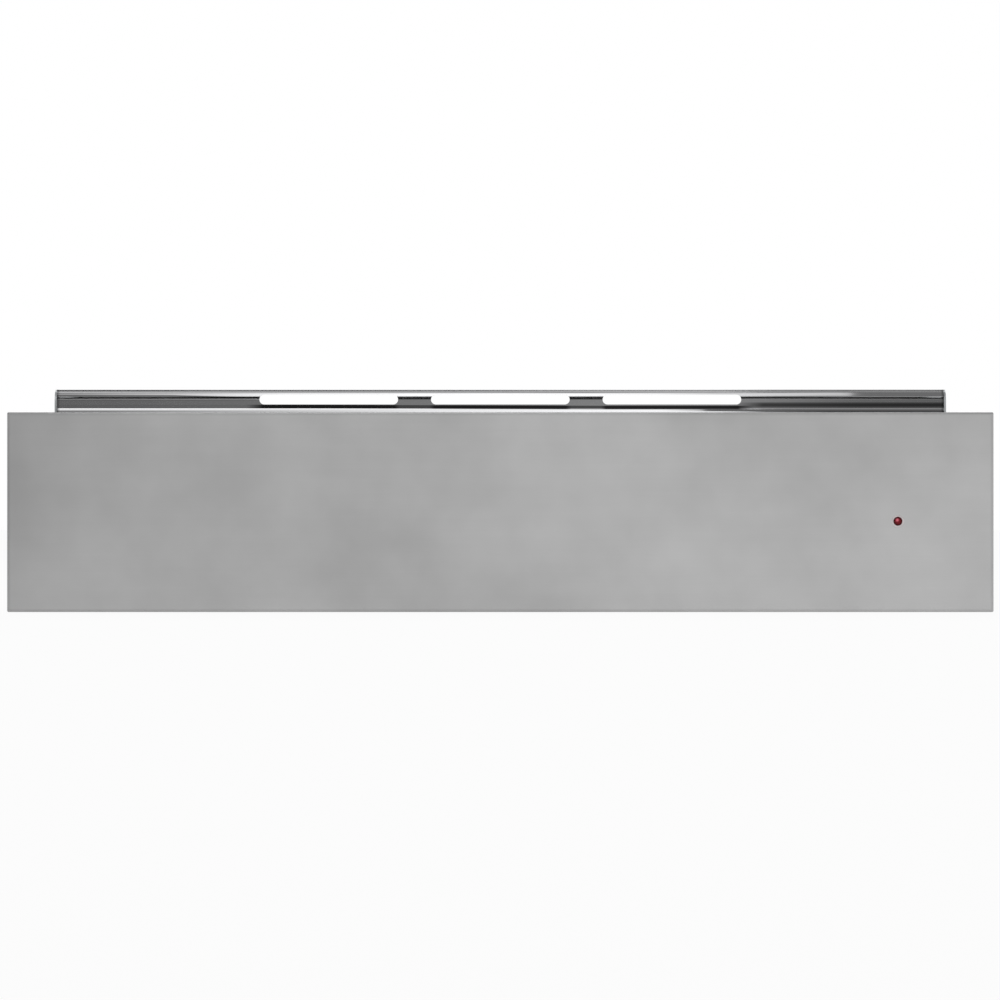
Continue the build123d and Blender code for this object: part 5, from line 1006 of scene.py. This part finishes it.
# The floor glows to the camera and in mirrors, and can't be seen from below.
bm = bmesh.new()
bmesh.ops.create_grid(bm, x_segments=1, y_segments=1, size=FLOOR_REACH)
floor = in_scene("floor", to_mesh(bm, "floor"))
pale, tree, shader = material("pale floor", FLOOR_PALE, roughness=0.9, specular_ior_level=0.0)
glow = node(tree, "Emission", {"Color": (1, 1, 1, 1), "Strength": 1.0})
seen = node(tree, "LightPath").outputs
plain = maths(tree, "MULTIPLY", seen["Is Camera Ray"], FLOOR_SEEN)
mirrored = maths(tree, "MULTIPLY_ADD", seen["Is Glossy Ray"], FLOOR_MIRRORED, plain)
mixed = node(tree, "MixShader", {0: mirrored, 1: shader.outputs[0], 2: glow.outputs[0]})
below = node(tree, "NewGeometry").outputs["Backfacing"]
clear = node(tree, "BsdfTransparent")
from_below = node(tree, "MixShader", {0: below, 1: mixed.outputs[0], 2: clear.outputs[0]})
tree.links.new(from_below.outputs[0], tree.nodes["Material Output"].inputs["Surface"])
floor.data.materials.append(pale)

for name, place, aim, size, watts in SOFT_BOXES:
    lamp = bpy.data.lights.new(name, "AREA")
    lamp.shape = "RECTANGLE"
    lamp.size, lamp.size_y = size
    lamp.energy = watts
    soft_box = in_scene(name, lamp)
    soft_box.location = place
    soft_box.rotation_euler = (Vector(aim) - Vector(place)).to_track_quat("-Z", "Y").to_euler()
    soft_box.visible_camera = False

for name, x, y, z, levels in LIGHT_CARDS:
    bm = bmesh.new()
    box_at(bm, x, y, z)
    card = in_scene(name, to_mesh(bm, name))
    card.visible_camera = False
    made = bpy.data.materials.new(name)
    made.use_nodes = True
    tree = made.node_tree
    tree.nodes.remove(tree.nodes["Principled BSDF"])
    top = max(level for place, level in levels)
    grey = graded(tree, axes_of(tree)["X"], [(place, level / top) for place, level in levels])
    glow = node(tree, "Emission", {"Color": grey, "Strength": top})
    tree.links.new(glow.outputs[0], tree.nodes["Material Output"].inputs["Surface"])
    card.data.materials.append(made)

camera = bpy.data.cameras.new("camera")
camera.sensor_width = CAMERA_SENSOR
camera.lens = CAMERA_LENS
camera_holder = in_scene("camera", camera)
camera_holder.location = CAMERA_PLACE
camera_holder.rotation_euler = (radians(90), 0, 0)
bpy.context.scene.camera = camera_holder
bpy.context.scene.view_settings.view_transform = "Standard"
